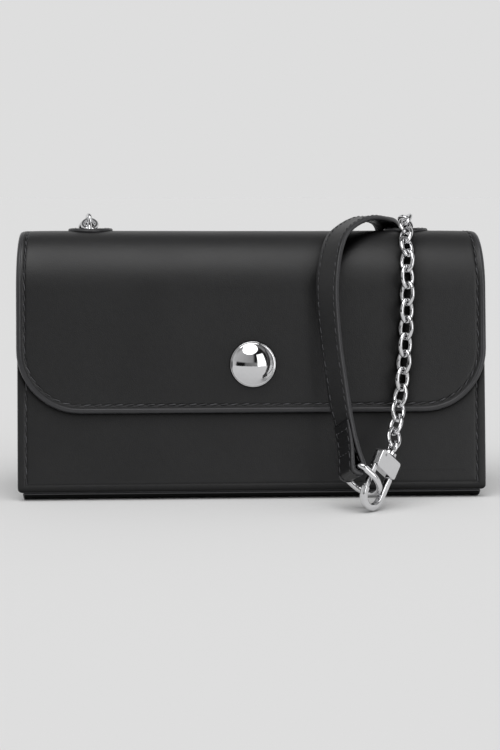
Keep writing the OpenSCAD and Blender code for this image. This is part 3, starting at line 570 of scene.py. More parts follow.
# %% Round holes for the chains and the snap
chain_x, eyelet_r = 68.0, 4.75
snap_z, snap_r = 55.5, 8.15
sides = (("left", -1), ("right", 1))
chain_holes = [((sign * chain_x, chain_y, top), 0.0, eyelet_r) for _, sign in sides]
snap_spot = (0.0, leaning(snap_z), snap_z)
snap_hole = [(snap_spot, math.pi / 2 - lean, snap_r)]
drill_length = 0.02


def punch(target, holes):
    """Cuts round holes, each given by its middle, its tilt from upright and its radius in millimetres."""
    uncut = bpy.data.objects.new("uncut", target.data.copy())
    scene.collection.objects.link(uncut)
    for (x, y, z), tilt, radius in holes:
        bpy.ops.mesh.primitive_cylinder_add(vertices=48, radius=radius / 1000, depth=drill_length,
                                            location=(x / 1000, (y + seat) / 1000, z / 1000),
                                            rotation=(tilt, 0, 0))
        subtract(target, bpy.context.object)
    # The cut leaves long faces round a hole, so the smooth surface's own normals are laid over them again
    shading = target.modifiers.new("shading", "DATA_TRANSFER")
    shading.object, shading.use_loop_data, shading.data_types_loops = uncut, True, {"CUSTOM_NORMAL"}
    shading.loop_mapping = "POLYINTERP_NEAREST"
    bake(target, shading)
    bpy.data.objects.remove(uncut)


print("the chains' holes are", 2 * eyelet_r, "mm wide and the snap's", 2 * snap_r, "mm")

# %% [markdown]
# ## The flap
#
# The flap's leather is one piece: it is sewn down the back, crosses the top and hangs over the front. A
# suede lining covers its underside, both are stitched together 3.2 mm from the edge, and the cut edge is
# painted. The fold is where it opens.

# %% Flap leather, from the root seam to the lower edge
leather, suede_sheet = [bag_calf, edge_paint, suede], [suede, edge_paint, suede]
full_width = (-half_width, half_width)
flap_corners, flap_seam = (26, 26, 3, 3), 3.2
flap_leather = sheet("flap_leather", full_width, (flap_edge, root_edge), flap_corners, (-2.7, -1.42), leather,
                     None, cut_r=0.57, reach=22, groove=0.32, crown=0.12, groove_at=flap_seam,
                     relief=swell(0.22, 46, 3.1), cut_w=1.9)
punch(flap_leather, chain_holes)
flap_suede = sheet("flap_suede", full_width, (flap_edge, fold + 1.5), (26, 26, 0.5, 0.5), (-1.4, -0.3),
                   suede_sheet, None, cut_r=0.4, reach=22)
print("the flap's leather has", len(flap_leather.data.polygons), "faces")


# %% A painted bead round the flap's edge
def edge_bead(name, loop, depths, out, wrap):
    """A rounded strip of edge paint along a loop of (x, run), from one face of the sheet to the other."""
    outer, inner = depths
    middle, half = (outer + inner) / 2, (inner - outer) / 2
    ahead = np.roll(loop, -1, 0) - np.roll(loop, 1, 0)
    away = unit(np.stack([ahead[:, 1], -ahead[:, 0]], 1))
    if ((loop - loop.mean(0)) * away).sum() < 0:
        away = -away
    ring = [(-wrap + (wrap + out) * math.cos(a), middle + (half + 0.04) * math.sin(a))
            for a in np.linspace(-np.pi / 2, np.pi / 2, 9)]
    ring += [(-wrap - 0.05, inner - 0.2), (-wrap - 0.05, outer + 0.2)]
    points = []
    for push, depth in ring:
        flat = loop + away * push
        y, z, _, _ = around(flat[:, 1], depth)
        points.append(np.stack([flat[:, 0], y, z], 1))
    faces = tube(len(ring), len(loop), ring=True)
    return make(name, np.concatenate(points), faces, [edge_paint], None)


flap_outline = (*full_width, flap_edge, root_edge, flap_corners)
flap_loop, _ = pattern_loop(*flap_outline, 0.05, 96, 90, 14)
flap_bead = edge_bead("flap_edge_paint", flap_loop, (-2.7, -0.4), 0.3, 1.5)
print("the painted edge is", round(float(lengths(flap_loop)[-1]), 0), "mm long")

# %% Stitches round the flap, on its face and on its lining
sewn_loop, _ = pattern_loop(*flap_outline, flap_seam, 190, 180, 30)
sewn_loop = np.concatenate([sewn_loop, sewn_loop[:1]])
flap_stitches = sew("flap_stitches", *on_bag(sewn_loop[:, 0], sewn_loop[:, 1], -2.45), None)
low = sewn_loop[sewn_loop[:, 1] < fold - 3]
lining_path, lining_up = on_bag(low[:, 0], low[:, 1], -0.3)
sew("flap_inner_stitches", lining_path, -lining_up, "flap", wire=0.5, slant=-0.14, lift=0.05)
for piece in (flap_leather, flap_suede, flap_bead, flap_stitches):
    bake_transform(piece)
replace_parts(flap_leather, "flap_outer", "flap_root")
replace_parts(flap_suede, "flap_lining")
print("the flap has", flap_stitches["stitches"], "stitches")

# %% [markdown]
# ## Panels of the body
#
# Front and back are flat pattern pieces bent round the box. Each ends in a flange beyond the side seam,
# where it is sewn to the turned edge of the gusset, so it is pinched flat there and swells inside the seam.

# %% Front, back and base panels
side_seam, panel_depths = 3.6, (0, 1.6)
front = sheet("front_leather", full_width, (front_seam, front_top), (2, 2, 1, 1), panel_depths, leather,
              groove=0.3, crown=0.25, groove_at=side_seam, relief=swell(0.3, 52, 7.7))
punch(front, snap_hole)
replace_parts(front, "front_panel")
back = sheet("back_leather", full_width, (mouth, back_seam), (1, 1, 2, 2), panel_depths, leather,
             groove=0.3, crown=0.2, groove_at=side_seam, relief=swell(0.12, 60, 2.3))
punch(back, chain_holes)
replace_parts(back, "back_panel")
base = sheet("base_leather", (-half_width + 2, half_width - 2), (back_seam + 0.3 - girth, front_seam - 0.3),
             (1, 1, 1, 1), panel_depths, leather, cut_r=0.55, reach=6)
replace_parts(base, "base_panel")
print("the front panel is", round(front_top - front_seam, 1), "mm high, measured round its turns")

# %% Side seams
for name, low_run, high_run in (("front", front_seam, front_top), ("back", root_edge + 3, back_seam)):
    for side, sign in sides:
        run = np.linspace(low_run + 3, high_run - 3, 120)
        sew(f"{name}_{side}_seam", *on_bag(sign * (half_width - side_seam), run, 0.22))
print("four side seams are sewn")

# %% [markdown]
# ## Gussets
#
# Each side of the bag is a D-shaped leather panel whose edges turn outwards to meet the front, the base and
# the back. It is the one place where the bag gives: the panel dips inwards a little between its seams. It is
# lofted from its cut edge round the turn and then in towards its middle.

# %% A side panel's dish
flange, gusset_t = 4.8, 1.4
wall_x = half_width - flange
side_middle = np.array([0.5, 52.0])


def dish(edge_ring, dip, shares):
    """Ever smaller copies of a ring round the side's middle, sunk by up to dip millimetres."""
    return [np.concatenate([edge_ring[:, :1] - dip * (1 - s**2) ** 1.5,
                            side_middle + (edge_ring[:, 1:] - side_middle) * s], 1) for s in shares]


print("a side's wall lies", flange, "mm inside the end of the bag")


# %% A gusset with turned edges
def gusset(name, sign):
    """One side panel: its outer face, the turn, the flange, and back along the inner face."""
    runs = np.arange(0, girth, 1.6)
    y0, z0, _, _ = around(runs)
    turned = ((y0 < 0) & (z0 < 82)) | ((y0 >= 0) & (z0 < 96))
    end_x = np.where(z0 < 3.0, half_width - 2, half_width)
    quarter = np.radians([0, 22, 45, 68, 90])
    section = [(wall_x + 1.1 * (1 - math.cos(a)), 4.1 - 1.1 * math.sin(a), wall_x, 4.1 - 0.55 * k, 0)
               for k, a in enumerate(quarter)]
    section += [(None, 3.0, wall_x, 1.85, 0), (-0.25, 2.95, wall_x - 0.1, 1.72, 1),
                (0.0, 2.3, wall_x - 0.7, 1.65, 1), (-0.25, 1.7, wall_x - 1.3, 1.72, 1),
                (None, 1.63, wall_x - gusset_t, 1.85, 2)]
    section += [(wall_x + 1.1 - 2.5 * math.sin(a), 4.1 - 2.47 * math.cos(a), wall_x - gusset_t,
                 1.9 + 0.55 * k, 2) for k, a in enumerate(quarter)]
    rings, tint = [], []
    for x, depth, free_x, free_depth, kind in section:
        flange_x = end_x - 0.5 if x is None else end_x + x if x <= 0 else np.full(len(runs), x)
        y, z, _, _ = around(runs, np.where(turned, depth, free_depth))
        rings.append(np.stack([np.where(turned, flange_x, free_x), y, z], 1))
        tint.append(kind)
    shares = (0.97, 0.92, 0.84, 0.72, 0.56, 0.4, 0.24, 0.1)
    rings = dish(rings[0], 1.6, shares)[::-1] + rings + dish(rings[-1], 1.6, shares)
    tint = [0] * len(shares) + tint + [2] * len(shares)
    faces = tube(len(rings), len(runs), turned=True)
    kinds = [kind for kind in tint[1:] for _ in runs] + [0, 2]
    if sign < 0:
        faces = [f[::-1] for f in faces]
    return make(name, np.concatenate(rings) * (sign, 1, 1), faces, leather, face_finish=kinds)


for side, sign in sides:
    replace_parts(gusset(f"{side}_gusset_leather", sign), f"{side}_gusset")
print("two gussets are lofted")

# %% [markdown]
# ## Eyelet patches
#
# The chains go down through the top in holes of 9.5 mm. A disc of leather is sewn over each hole, because a
# single layer would tear. The discs follow the top's curve, so they are drawn as rings on the outline too.

# %% Two discs with a hole
patch_r, stitch_r = 9.5, 7.65


def patch(name, x_middle, node):
    profile = [(eyelet_r, -2.9), (4.85, -3.5), (5.1, -3.86), (5.7, -3.95), (7.2, -3.95), (stitch_r, -3.8),
               (8.1, -3.95), (8.9, -3.93), (9.3, -3.75), (9.48, -3.4), (patch_r, -2.95), (9.35, -2.72),
               (4.9, -2.72)]
    ring = np.linspace(0, 2 * np.pi, 73)[:-1]
    points = []
    for r, depth in profile:
        y, z, _, _ = around(eyelet + r * np.sin(ring), depth)
        points.append(np.stack([x_middle + r * np.cos(ring), y, z], 1))
    faces = tube(len(profile), len(ring), ring=True, turned=True)
    tint = [1 if k in (0, 8, 9, 10, 12) else 0 for k in range(len(profile)) for _ in ring]
    made = make(name, np.concatenate(points), faces, [bag_calf, edge_paint], face_finish=tint)
    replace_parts(made, node)
    loop = np.linspace(0, 2 * np.pi, 121)
    path, up = on_bag(x_middle + stitch_r * np.cos(loop), eyelet + stitch_r * np.sin(loop), -3.84)
    sew(name + "_stitches", path, up, pitch=3.2, length=2.5, wire=0.5, lift=0.08)


for side, sign in sides:
    patch(f"{side}_patch_leather", sign * chain_x, f"{side}_eyelet_patch")
print("a patch is", 2 * patch_r, "mm wide")

# %% [markdown]
# ## The lining and its pocket
#
# Inside hangs a sewn bag of suede: one long piece that covers the front, base and back, and two D-shaped
# ends. A card pocket with a turned hem is sewn to its back wall.

# %% The lining's long piece and ends
lining_x = wall_x - gusset_t - 0.3
lining = sheet("lining_suede", (-lining_x, lining_x), (mouth - girth, front_top - 0.3), (1, 1, 1, 1),
               (2.6, 3.4), suede_sheet, "bag", cut_r=0.3, reach=4,
               relief=swell(0.15, 40, 5.5))
punch(lining, chain_holes)
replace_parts(lining, "lining")


def lining_end(name, sign):
    y, z, _, _ = around(np.arange(0, girth, 2.0), 2.75)
    shares = (0.99, 0.93, 0.8, 0.6, 0.4, 0.2, 0.08)
    outer, inner = (np.stack([np.full(len(y), lining_x - v), y, z], 1) for v in (0.1, 0.78))
    rings = dish(outer, 1.7, shares)[::-1] + dish(inner, 1.7, shares)
    faces = tube(len(rings), len(y), turned=True)
    if sign < 0:
        faces = [f[::-1] for f in faces]
    make(name, np.concatenate(rings) * (sign, 1, 1), faces, [suede], "bag")


for side, sign in sides:
    lining_end(f"lining_{side}_end", sign)
print("inside, the bag is", round(2 * lining_x), "mm long")

# %% A card pocket
def pocket(wide, low, high, wall):
    """A pocket front that bellies out a little, thicker along its turned top hem."""
    xs, zs = np.linspace(-wide, wide, 56), np.linspace(low, high, 30)
    front_face, back_face = [], []
    for z in zs:
        for x in xs:
            edge_x = min((wide - abs(x)) / 8, 1)
            edge_z = min((z - low) / 8, 1)
            belly = 1.15 * math.sin(math.pi / 2 * edge_x) * math.sin(math.pi / 2 * edge_z)
            hem = 0.35 if z > high - 6 else 0.0
            front_face.append((x, wall - 0.75 - belly - hem, z))
            back_face.append((x, wall - 0.05 - belly, z))
    n, m = len(xs), len(zs)
    faces = [(k * n + i, k * n + i + 1, k * n + n + i + 1, k * n + n + i)
             for k in range(m - 1) for i in range(n - 1)]
    shift = n * m
    faces += [tuple(v + shift for v in f)[::-1] for f in faces]
    border = list(range(n)) + [k * n + n - 1 for k in range(1, m)]
    border += [(m - 1) * n + i for i in range(n - 2, -1, -1)] + [k * n for k in range(m - 2, 0, -1)]
    faces += [(a, a + shift, b + shift, b) for a, b in zip(border, border[1:] + border[:1])]
    return make("card_pocket", front_face + back_face, faces, [suede], "bag")


pocket_wide, pocket_low, pocket_high = 55.0, 16.0, 68.0
card_pocket = pocket(pocket_wide, pocket_low, pocket_high, 24.6)
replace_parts(card_pocket, "slip_pocket")
seam_x, seam_y, seam_z = pocket_wide - 1.5, 23.7, pocket_low + 1.5
for name, (xa, za), (xb, zb) in (("left", (-seam_x, seam_z), (-seam_x, 61)),
                                 ("right", (seam_x, 61), (seam_x, seam_z)),
                                 ("low", (seam_x, seam_z), (-seam_x, seam_z))):
    line = np.linspace((xa, seam_y, za), (xb, seam_y, zb), 40)
    sew(f"pocket_{name}_seam", line, np.tile([0.0, -1.0, 0.0], (40, 1)), "bag", "lining_suede", pitch=3.6,
        length=2.8, wire=0.5, slant=0.12)
print("the pocket is", 2 * pocket_wide, "mm wide and", pocket_high - pocket_low, "mm deep")

# %% [markdown]
# ## Bands of leather and wire
#
# The strap, the tabs inside, the tie and the clasp's hook all have one cross-section that is carried along
# a path. The path is a few points with the direction of the section's width at each, and a smooth curve is
# drawn through them. That keeps a flat strap flat while it twists, which a plain bevelled curve doesn't.

# %% Smooth curve and swept section
def smooth(points, steps):
    """A smooth curve through points, with some steps between each two."""
    p = np.asarray(points, float)
    out = []
    for i in range(len(p) - 1):
        a, b, c, d = p[max(i - 1, 0)], p[i], p[i + 1], p[min(i + 2, len(p) - 1)]
        for u in np.arange(steps) / steps:
            out.append((2 * b + (c - a) * u + (2 * a - 5 * b + 4 * c - d) * u**2
                        + (3 * b - a - 3 * c + d) * u**3) / 2)
    return np.array(out + [p[-1]])


def frames(path, widths):
    """Width direction and outward direction at each point of a path."""
    ahead = unit(np.gradient(path, axis=0))
    wide = unit(widths - ahead * (ahead * widths).sum(1)[:, None])
    return wide, np.cross(ahead, wide)


def carry(name, path, widths, section, finishes, tint, body="bag", thin=None,
          narrow=None):
    """Carries a closed section of (width, height) points along a path. Thin and narrow scale it."""
    wide, high = frames(path, widths)
    section = np.asarray(section, float)
    thin, narrow = (np.ones(len(path)) if scale is None else scale for scale in (thin, narrow))
    points = [p + w * section[:, :1] * q + h * section[:, 1:] * t
              for p, w, h, q, t in zip(path, wide, high, narrow, thin)]
    kinds = tint * (len(path) - 1) + [max(tint)] * 2
    return make(name, np.concatenate(points), tube(len(path), len(section)), finishes, body, kinds)


def band_section(half_w, half_t, cut_r):
    """A flat band with rounded edges, and which of its faces are its painted edges."""
    flat = np.linspace(-1, 1, 9) * (half_w - cut_r)
    right = [(half_w - cut_r + cut_r * math.cos(a), half_t * math.sin(a) / math.sin(math.radians(72)))
             for a in np.radians([-60, -30, 0, 30, 60])]
    section = [(x, -half_t) for x in flat] + right
    section += [(x, half_t) for x in flat[::-1]] + [(-x, y) for x, y in right[::-1]]
    return section, ([0] * 8 + [1] * 6) * 2


def corner_points(angles):
    """Each point of a rounded rectangle's four corners: the corner's two signs and the angle."""
    return [(sx, sy, a) for sx, sy, start in ((1, 1, 0), (-1, 1, 90), (-1, -1, 180), (1, -1, 270))
            for a in np.radians([start + angle for angle in angles])]


print("a band's section has", len(band_section(5.0, 1.0, 0.4)[0]), "points")

# %% [markdown]
# ## The strap
#
# The strap is two layers of calf, 11.5 mm wide, glued and sewn along both edges, which are painted. It
# hangs in the clasp's ring: its pared end is folded to the front and sewn down across. From there it rises
# over the flap, crosses the top, goes down behind and is folded away in three layers. It is one length of
# about 0.8 m, so it is one piece along one path. The points are those that the frame's strap follows.

# %% The ring and the fold round its bar
def about(v, turn):
    """Turns a vector about X, then Y, then Z, by degrees."""
    (x, y, z), (a, b, c) = v, np.radians(turn)
    y, z = y * math.cos(a) - z * math.sin(a), y * math.sin(a) + z * math.cos(a)
    x, z = x * math.cos(b) + z * math.sin(b), z * math.cos(b) - x * math.sin(b)
    return np.array([x * math.cos(c) - y * math.sin(c), x * math.sin(c) + y * math.cos(c), z])


strap_t = 2.0
loop_r = 1.25 + 0.3 + strap_t / 2
ring_turn = (-36, 43, -1)
ring_bar = np.array([43, -52.2, 11.9]) + about((-6.6, 0, 0), ring_turn)
ring_side = about((0, -1, 0), ring_turn)
down = np.array([0.14, -0.38, -0.91])
down = unit(down - ring_side * (down @ ring_side))
out = np.cross(down, ring_side)
tail_end = 19.5
tail = [ring_bar + out * strap_t * a - down * tail_end * b for a, b in ((0.45, 1), (0.45, 0.72), (0.65, 0.4))]
turn = [ring_bar + loop_r * (out * math.cos(a) + down * math.sin(a)) for a in np.radians(range(0, 181, 45))]
neck = [ring_bar - out * strap_t * a - down * 15.5 * b for a, b in ((0.7, 0.5), (0.45, 1))]
print("the ring's bar is at", [round(float(v), 1) for v in ring_bar])

# %% The whole path
strap_points = [[34.4, -43, 40], [32.9, -39, 51.5], [31.5, -35.3, 63], [30.5, -32.2, 74.5], [30.1, -29, 85],
                [30.8, -25.2, 94], [32.8, -19.5, 102.4], [36, -12, 108.6], [41.4, -4.4, 112.7],
                [48.6, 4.2, 115.2], [55, 12.6, 114.8], [60, 20.6, 113.1], [62.8, 28.8, 108],
                [63.3, 33.6, 98], [62.6, 34.4, 86], [62.4, 35.8, 70], [62.2, 36.6, 54], [62, 37, 40],
                [62, 37.2, 28]]
strap_widths = [[0.56, -0.8, 0.18], [0.58, -0.8, 0.12], [0.6, -0.79, 0.1], [0.63, -0.77, 0.08],
                [0.65, -0.76, 0.06], [0.66, -0.75, 0.06], [0.6, -0.79, 0.08], [0.55, -0.83, 0.06],
                [0.56, -0.82, 0.1], [0.62, -0.78, 0.07], [0.72, -0.69, 0.05], [0.82, -0.56, 0.1],
                [0.92, -0.38, 0.1], [0.98, -0.2, 0], [0.97, 0.24, 0], [0.72, 0.7, 0], [0.34, 0.94, 0],
                [0.08, 1, 0], [0, 1, 0]]
fold_y, layer, low_z = 37.2, 4.6, 1.6
top_z = low_z + 2 * layer
corner = [[54 + 8 * math.cos(a), fold_y, top_z + 8 - 8 * math.sin(a)] for a in np.radians(range(0, 91, 15))]
route = smooth(tail + turn + neck + strap_points + corner, 6)
width_way = smooth([ring_side] * 10 + strap_widths + [[0, 1, 0]] * 7, 6)


def half_turn(x, z, sign):
    return [[x + sign * layer / 2 * math.sin(a), fold_y, z + layer / 2 * math.cos(a)]
            for a in np.radians(range(0, 181, 15))]


def run_of(x0, x1, z):
    return [[x, fold_y, z] for x in np.linspace(x0, x1, 28)[1:-1]]


far_z = low_z + loop_r
packed = run_of(54, -73, top_z) + half_turn(-73, top_z - layer / 2, -1) + run_of(-73, 84, top_z - layer)
packed += half_turn(84, low_z + layer / 2, 1) + run_of(84, -86, low_z)
packed += [[-86 - loop_r * math.sin(a), fold_y, far_z - loop_r * math.cos(a)]
           for a in np.radians(range(0, 181, 20))]
packed += [[-82, fold_y, far_z + loop_r - 0.5], [-78, fold_y, 3.75], [-72, fold_y, 3.7], [-62, fold_y, 3.7]]
route = np.concatenate([route, packed])
width_way = np.concatenate([width_way, np.tile([0.0, 1.0, 0.0], (len(packed), 1))])
length_at = lengths(route)
strap_length = float(length_at[-1])
print("the strap is", round(strap_length), "mm long")

# %% The strap's leather and its long rows of stitches
thin = np.minimum(1, 0.35 + np.arange(len(route)) * 0.03)
strap_width = 11.5
section, tint = band_section(strap_width / 2, strap_t / 2, 0.42)
strap_finishes = [strap_calf, edge_paint]
strap = carry("strap_leather", route, width_way, section, strap_finishes, tint, None, thin)
across_way, out_way = frames(route, width_way)
sewn = (length_at > 2) & (length_at < strap_length - 1)
for side_name, offset in (("left", -4.2), ("right", 4.2)):
    for face_name, sign in (("outer", 1), ("inner", -1)):
        line = route + across_way * offset + out_way * sign * thin[:, None]
        row = sew(f"strap_{side_name}_{face_name}_stitches", line[sewn], (out_way * sign)[sewn], None,
                  "strap_leather", pitch=3.5, length=2.7, wire=0.5, slant=0.12, lift=0.07)
        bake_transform(row)
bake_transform(strap)
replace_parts(strap, "strap_front", "strap_arch", "strap_back", "strap_hank")
print("the strap is sewn at", int(sewn.sum()), "of the", len(route), "points of its route")

# %% Two rows of stitches across the folded end
for number, back_from_bar in (("upper", 16.2), ("lower", 6.8)):
    k = int(np.argmin(np.abs(length_at - (tail_end - back_from_bar))))
    spot = route[k] + out_way[k] * thin[k]
    line = np.array([spot + across_way[k] * v for v in np.linspace(-4.4, 4.4, 12)])
    sew(f"tail_{number}_stitches", line, np.tile(out_way[k], (12, 1)), "flap", "strap_leather", pitch=2.2,
        length=1.3, wire=0.42, slant=0.1, lift=0.1)
print("the tail is sewn across twice")

# %% [markdown]
# ## Tie and tabs
#
# An elastic band holds the folded strap. Inside the bag two leather tabs hold the steel rings that end the
# chains. A tab is folded round its ring and sewn across, so it too is a band carried along a path.

# %% The elastic tie
tie_z = 6.2
tie_loop = [(sy * 5.05 + math.cos(a), tie_z + sz * 4.9 + math.sin(a))
            for sy, sz, a in corner_points((0, 30, 60, 90))]
xs = np.linspace(-10, -4, 13)
points = []
for x in xs:
    pull = 1.0 if 0 < abs(x + 7) < 2.95 else 0.997
    points += [(x, fold_y + y * pull, z) for y, z in tie_loop]
for x in xs[::-1]:
    points += [(x, fold_y + y * 0.94, tie_z + (z - tie_z) * 0.94) for y, z in tie_loop]
faces = tube(2 * len(xs), len(tie_loop), ring=True)
tie = make("elastic_tie", points, faces, [elastic], "bag")
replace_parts(tie, "hank_tie")
print("the tie is", round(xs[-1] - xs[0]), "mm wide")


# %% Tabs for the inner rings
def tab(name, x_middle, node):
    """A strip that comes down the back wall from a loop round the ring's wire."""
    wall, bow_r = 23.85, 0.8 + 0.3 + 0.7
    bow_y, bow_z = chain_y + 10 * math.sin(math.radians(36)), 94.1 - 10 * math.cos(math.radians(36))
    strip = [(wall, 62.3), (wall, 68), (wall, 74), (wall, bow_z - 3.2), (wall - 0.4, bow_z - 1.6)]
    bow = [(x_middle, bow_y + bow_r * math.cos(a), bow_z + bow_r * math.sin(a))
           for a in np.radians(range(-20, 321, 20))]
    path = np.concatenate([smooth([[x_middle, y, z] for y, z in strip], 3), bow])
    narrow = np.interp(np.arange(len(path)), [0, 11, 15, len(path)], [1, 1, 0.3, 0.3])
    section, tint = band_section(5.0, 0.65, 0.35)
    made = carry(name, path, np.tile([1.0, 0.0, 0.0], (len(path), 1)), section, [bag_calf], [0] * len(tint),
                 narrow=narrow)
    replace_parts(made, node)
    cross = np.linspace((x_middle - 4, wall - 0.7, 76), (x_middle + 4, wall - 0.7, 76), 10)
    sew(name + "_stitches", cross, np.tile([0.0, -1.0, 0.0], (10, 1)), pitch=2.7, length=2.1, wire=0.5,
        slant=0.1)


for side, sign in sides:
    tab(f"{side}_tab_leather", sign * chain_x, f"{side}_chain_tab")
print("the tabs hang", round(chain_x), "mm from the middle")

# %% [markdown]
# ## The chains
#
# Each link is 1.8 mm wire, bent round a mandrel to an oval: two tight ends and two slack sides, all arcs. The
# frame's links have straight sides, so they are drawn again here, at the frame's own joints. Every link is
# turned a quarter from the one before, as hooked links are. The three over the flap's fold are a piece of
# their own.

# %% One oval of wire
wire_r, end_r, half_long, half_wide = 0.9, 2.3, 4.6, 3.05
reach = half_long - end_r
side_r = (reach**2 + half_wide**2 - end_r**2) / (2 * (half_wide - end_r))
handover = math.atan2(side_r - half_wide, reach)
oval = [(end_r * math.sin(a), reach + end_r * math.cos(a)) for a in np.linspace(-handover, handover, 11)]
oval += [(half_wide - side_r + side_r * math.cos(a), side_r * math.sin(a))
         for a in np.linspace(math.pi / 2 - handover, handover - math.pi / 2, 9)[1:-1]]
oval = np.array(oval + [(-x, -z) for x, z in oval])
print("a link's slack sides have a radius of", round(side_r, 1), "mm")


# %% Links along a route
def links(name, joints, chosen, first_turn, body):
    """Ovals of wire hooked into each other between joints, each a quarter turn from the last."""
    ahead = np.roll(oval, -1, 0) - np.roll(oval, 1, 0)
    away = unit(np.stack([-ahead[:, 1], ahead[:, 0]], 1))
    ring = np.radians(np.arange(0, 360, 30))
    blank = [Vector((x + wire_r * math.cos(a) * ax, wire_r * math.sin(a), z + wire_r * math.cos(a) * az))
             for (x, z), (ax, az) in zip(oval, away) for a in ring]
    skin = tube(len(oval), len(ring), ring=True)
    points, faces = [], []
    for k in chosen:
        way = unit(joints[k + 1] - joints[k])
        turn = Matrix.Rotation(math.atan2(-way[1], way[2]), 3, "X")
        turn = turn @ Matrix.Rotation(math.asin(way[0]), 3, "Y")
        turn = turn @ Matrix.Rotation(math.radians(first_turn - 90 * (k % 2)), 3, "Z")
        base, middle = len(points), (joints[k] + joints[k + 1]) / 2
        points += [tuple(np.array(turn @ v) + middle) for v in blank]
        faces += [tuple(base + v for v in face) for face in skin]
    return make(name, points, faces, [nickel], body)


def joints_along(route):
    """An even number of equal steps along a smooth curve, none longer than a link can bridge."""
    curve, longest = smooth(route, 8), 7.1
    run = lengths(curve)
    count = 2 * math.ceil(run[-1] / longest / 2)
    return np.stack([np.interp(np.linspace(0, run[-1], count + 1), run, curve[:, k]) for k in range(3)], 1)


print("a link is bent from", len(oval), "short lengths of wire")


# %% Right chain, out of its hole, over the shoulder and down to the clasp
right_route = [[68, 13.5, 92.8], [68, 14.5, 101], [68, 15.3, 106.5], [67.9, 14.9, 111.5], [67.6, 11.4, 112.3],
               [67.2, 8.6, 114.5], [66.6, 1.4, 114.7]]
right_route += [[x, *rim(shoulder, 30.1, a)] for x, a in ((65.8, 106), (64.9, 124), (64.3, 148))]
right_route += [[x, leaning(z, 6.1), z] for x, z in ((63.8, 84), (62.9, 66), (61.7, 52))]
right_route += [[60.2, -29.5, 42], [57.8, -36.4, 33.6], [55.3, -45.2, 25.4]]
joints = joints_along(right_route)
inner_links = links("right_inner_links", joints, range(3), 50, "bag")
fold_links = links("fold_links", joints, range(3, 6), 50, None)
front_links = links("front_links", joints, range(6, len(joints) - 1), 50, "flap")
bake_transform(fold_links)
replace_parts(inner_links, "right_chain_inner")
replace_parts(fold_links, "chain_bend")
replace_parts(front_links, "right_chain")
print("the right chain has", len(joints) - 1, "links")

# %% Left chain, over the rear edge and down behind
left_route = [[-68, 13.5, 92.8], [-68, 12.2, 101], [-68, 12.1, 106.5], [-68, 11.6, 109.1], [-68.4, 16, 111.5],
              [-69, 22.7, 114.5], [-69.6, 23.4, 114.5], [-70.4, 30.1, 110], [-71.2, 36.1, 98],
              [-72.5, 35.8, 88], [-75, 34.8, 74], [-78.4, 35, 57], [-83, 35.8, 38], [-86.4, 36.6, 26],
              [-90, 37.2, 15.2]]
joints = joints_along(left_route)
rear_links = links("rear_links", joints, range(len(joints) - 1), 90, "bag")
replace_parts(rear_links, "left_chain")
print("the left chain has", len(joints) - 1, "links")

# %% [markdown]
# ## The snap's cap
#
# The cap is spun from sheet: a low dome with its rim rolled under, pressed on a post through the flap. A
# lathe profile gives the small step between dome and rim, where the dark line in its reflection comes from.

# %% Turned cap
face_out = np.array([0.0, -math.cos(lean), math.sin(lean)])
face_up = np.array([0.0, math.sin(lean), math.cos(lean)])
face_side = np.array([1.0, 0.0, 0.0])
dome_r, step_r, step_height = 12.0, 8.8, 0.85
cap_foot = np.array(snap_spot) + face_out * 2.7
profile = [(r, step_height + math.sqrt(dome_r**2 - r**2) - math.sqrt(dome_r**2 - step_r**2))
           for r in np.linspace(0.6, step_r, 18)]
profile += [(9.02, 0.88), (9.14, 0.88), (9.27, 0.84), (9.37, 0.74), (9.42, 0.58), (9.4, 0.34), (9.3, 0.1),
            (9.15, 0.02), (8.6, 0.02)]
ring = np.linspace(0, 2 * np.pi, 97)[:-1]
points = [cap_foot + face_out * h + r * (face_side * math.cos(a) + face_up * math.sin(a))
          for r, h in profile for a in ring]
faces = tube(len(profile), len(ring), turned=True)
cap = make("snap_cap", points, faces, [nickel], "flap")
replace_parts(cap, "stud_cap")
print("the dome's radius is", dome_r, "mm")

# %% [markdown]
# ## The clasp
#
# The clasp is a zinc casting: a block that turns on the chain's swivel, a hook, and a gate that a leaf
# spring holds shut. Castings have no sharp corners, and the softened edges draw the bright lines that show
# its form. Each piece keeps the frame's sizes and gets its corners rounded by a few tenths.

# %% The clasp's own directions
clasp_at = np.array([51.8, -49.1, 18.3])
clasp_turn = (1, 35.4, 44.2)
axes = np.array([about(v, clasp_turn) for v in np.eye(3)])


def on_clasp(points):
    """Points of the clasp's own frame, set where the clasp is."""
    return clasp_at + np.asarray(points, float) @ axes


block_w, block_d, block_h = 13.6, 4.2, 7.6
hook_half_w, hook_half_d = 1.3, 1.35
hook_r = block_w / 2 - hook_half_w
hook_z = -block_h / 2 - 9.7
print("the clasp is", round(block_h / 2 - hook_z + hook_r + hook_half_w, 1), "mm long without its swivel")

# %% Hook
leg = [(hook_r, 0, z) for z in np.linspace(-block_h / 2 + 0.5, hook_z, 9)]
half = [(hook_r * math.cos(a), 0, hook_z - hook_r * math.sin(a)) for a in np.radians(np.arange(6, 180, 6))]
tip_z = hook_z + 0.4
tip = [(-hook_r, 0, hook_z), (-hook_r, 0, hook_z + 0.25), (-hook_r, 0, tip_z)]
hook_path = on_clasp(leg + half + tip)
soft_r = 0.62
square = [(sx * (hook_half_d - soft_r) + soft_r * math.cos(a),
           sy * (hook_half_w - soft_r) + soft_r * math.sin(a))
          for sx, sy, a in corner_points((0, 22, 45, 68, 90))]
hook = carry("clasp_hook_cast", hook_path, np.tile(axes[1], (len(hook_path), 1)), square, [nickel],
             [0] * len(square), "clasp")
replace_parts(hook, "clasp_hook")
print("the hook's bar is", 2 * hook_half_w, "by", 2 * hook_half_d, "mm thick")


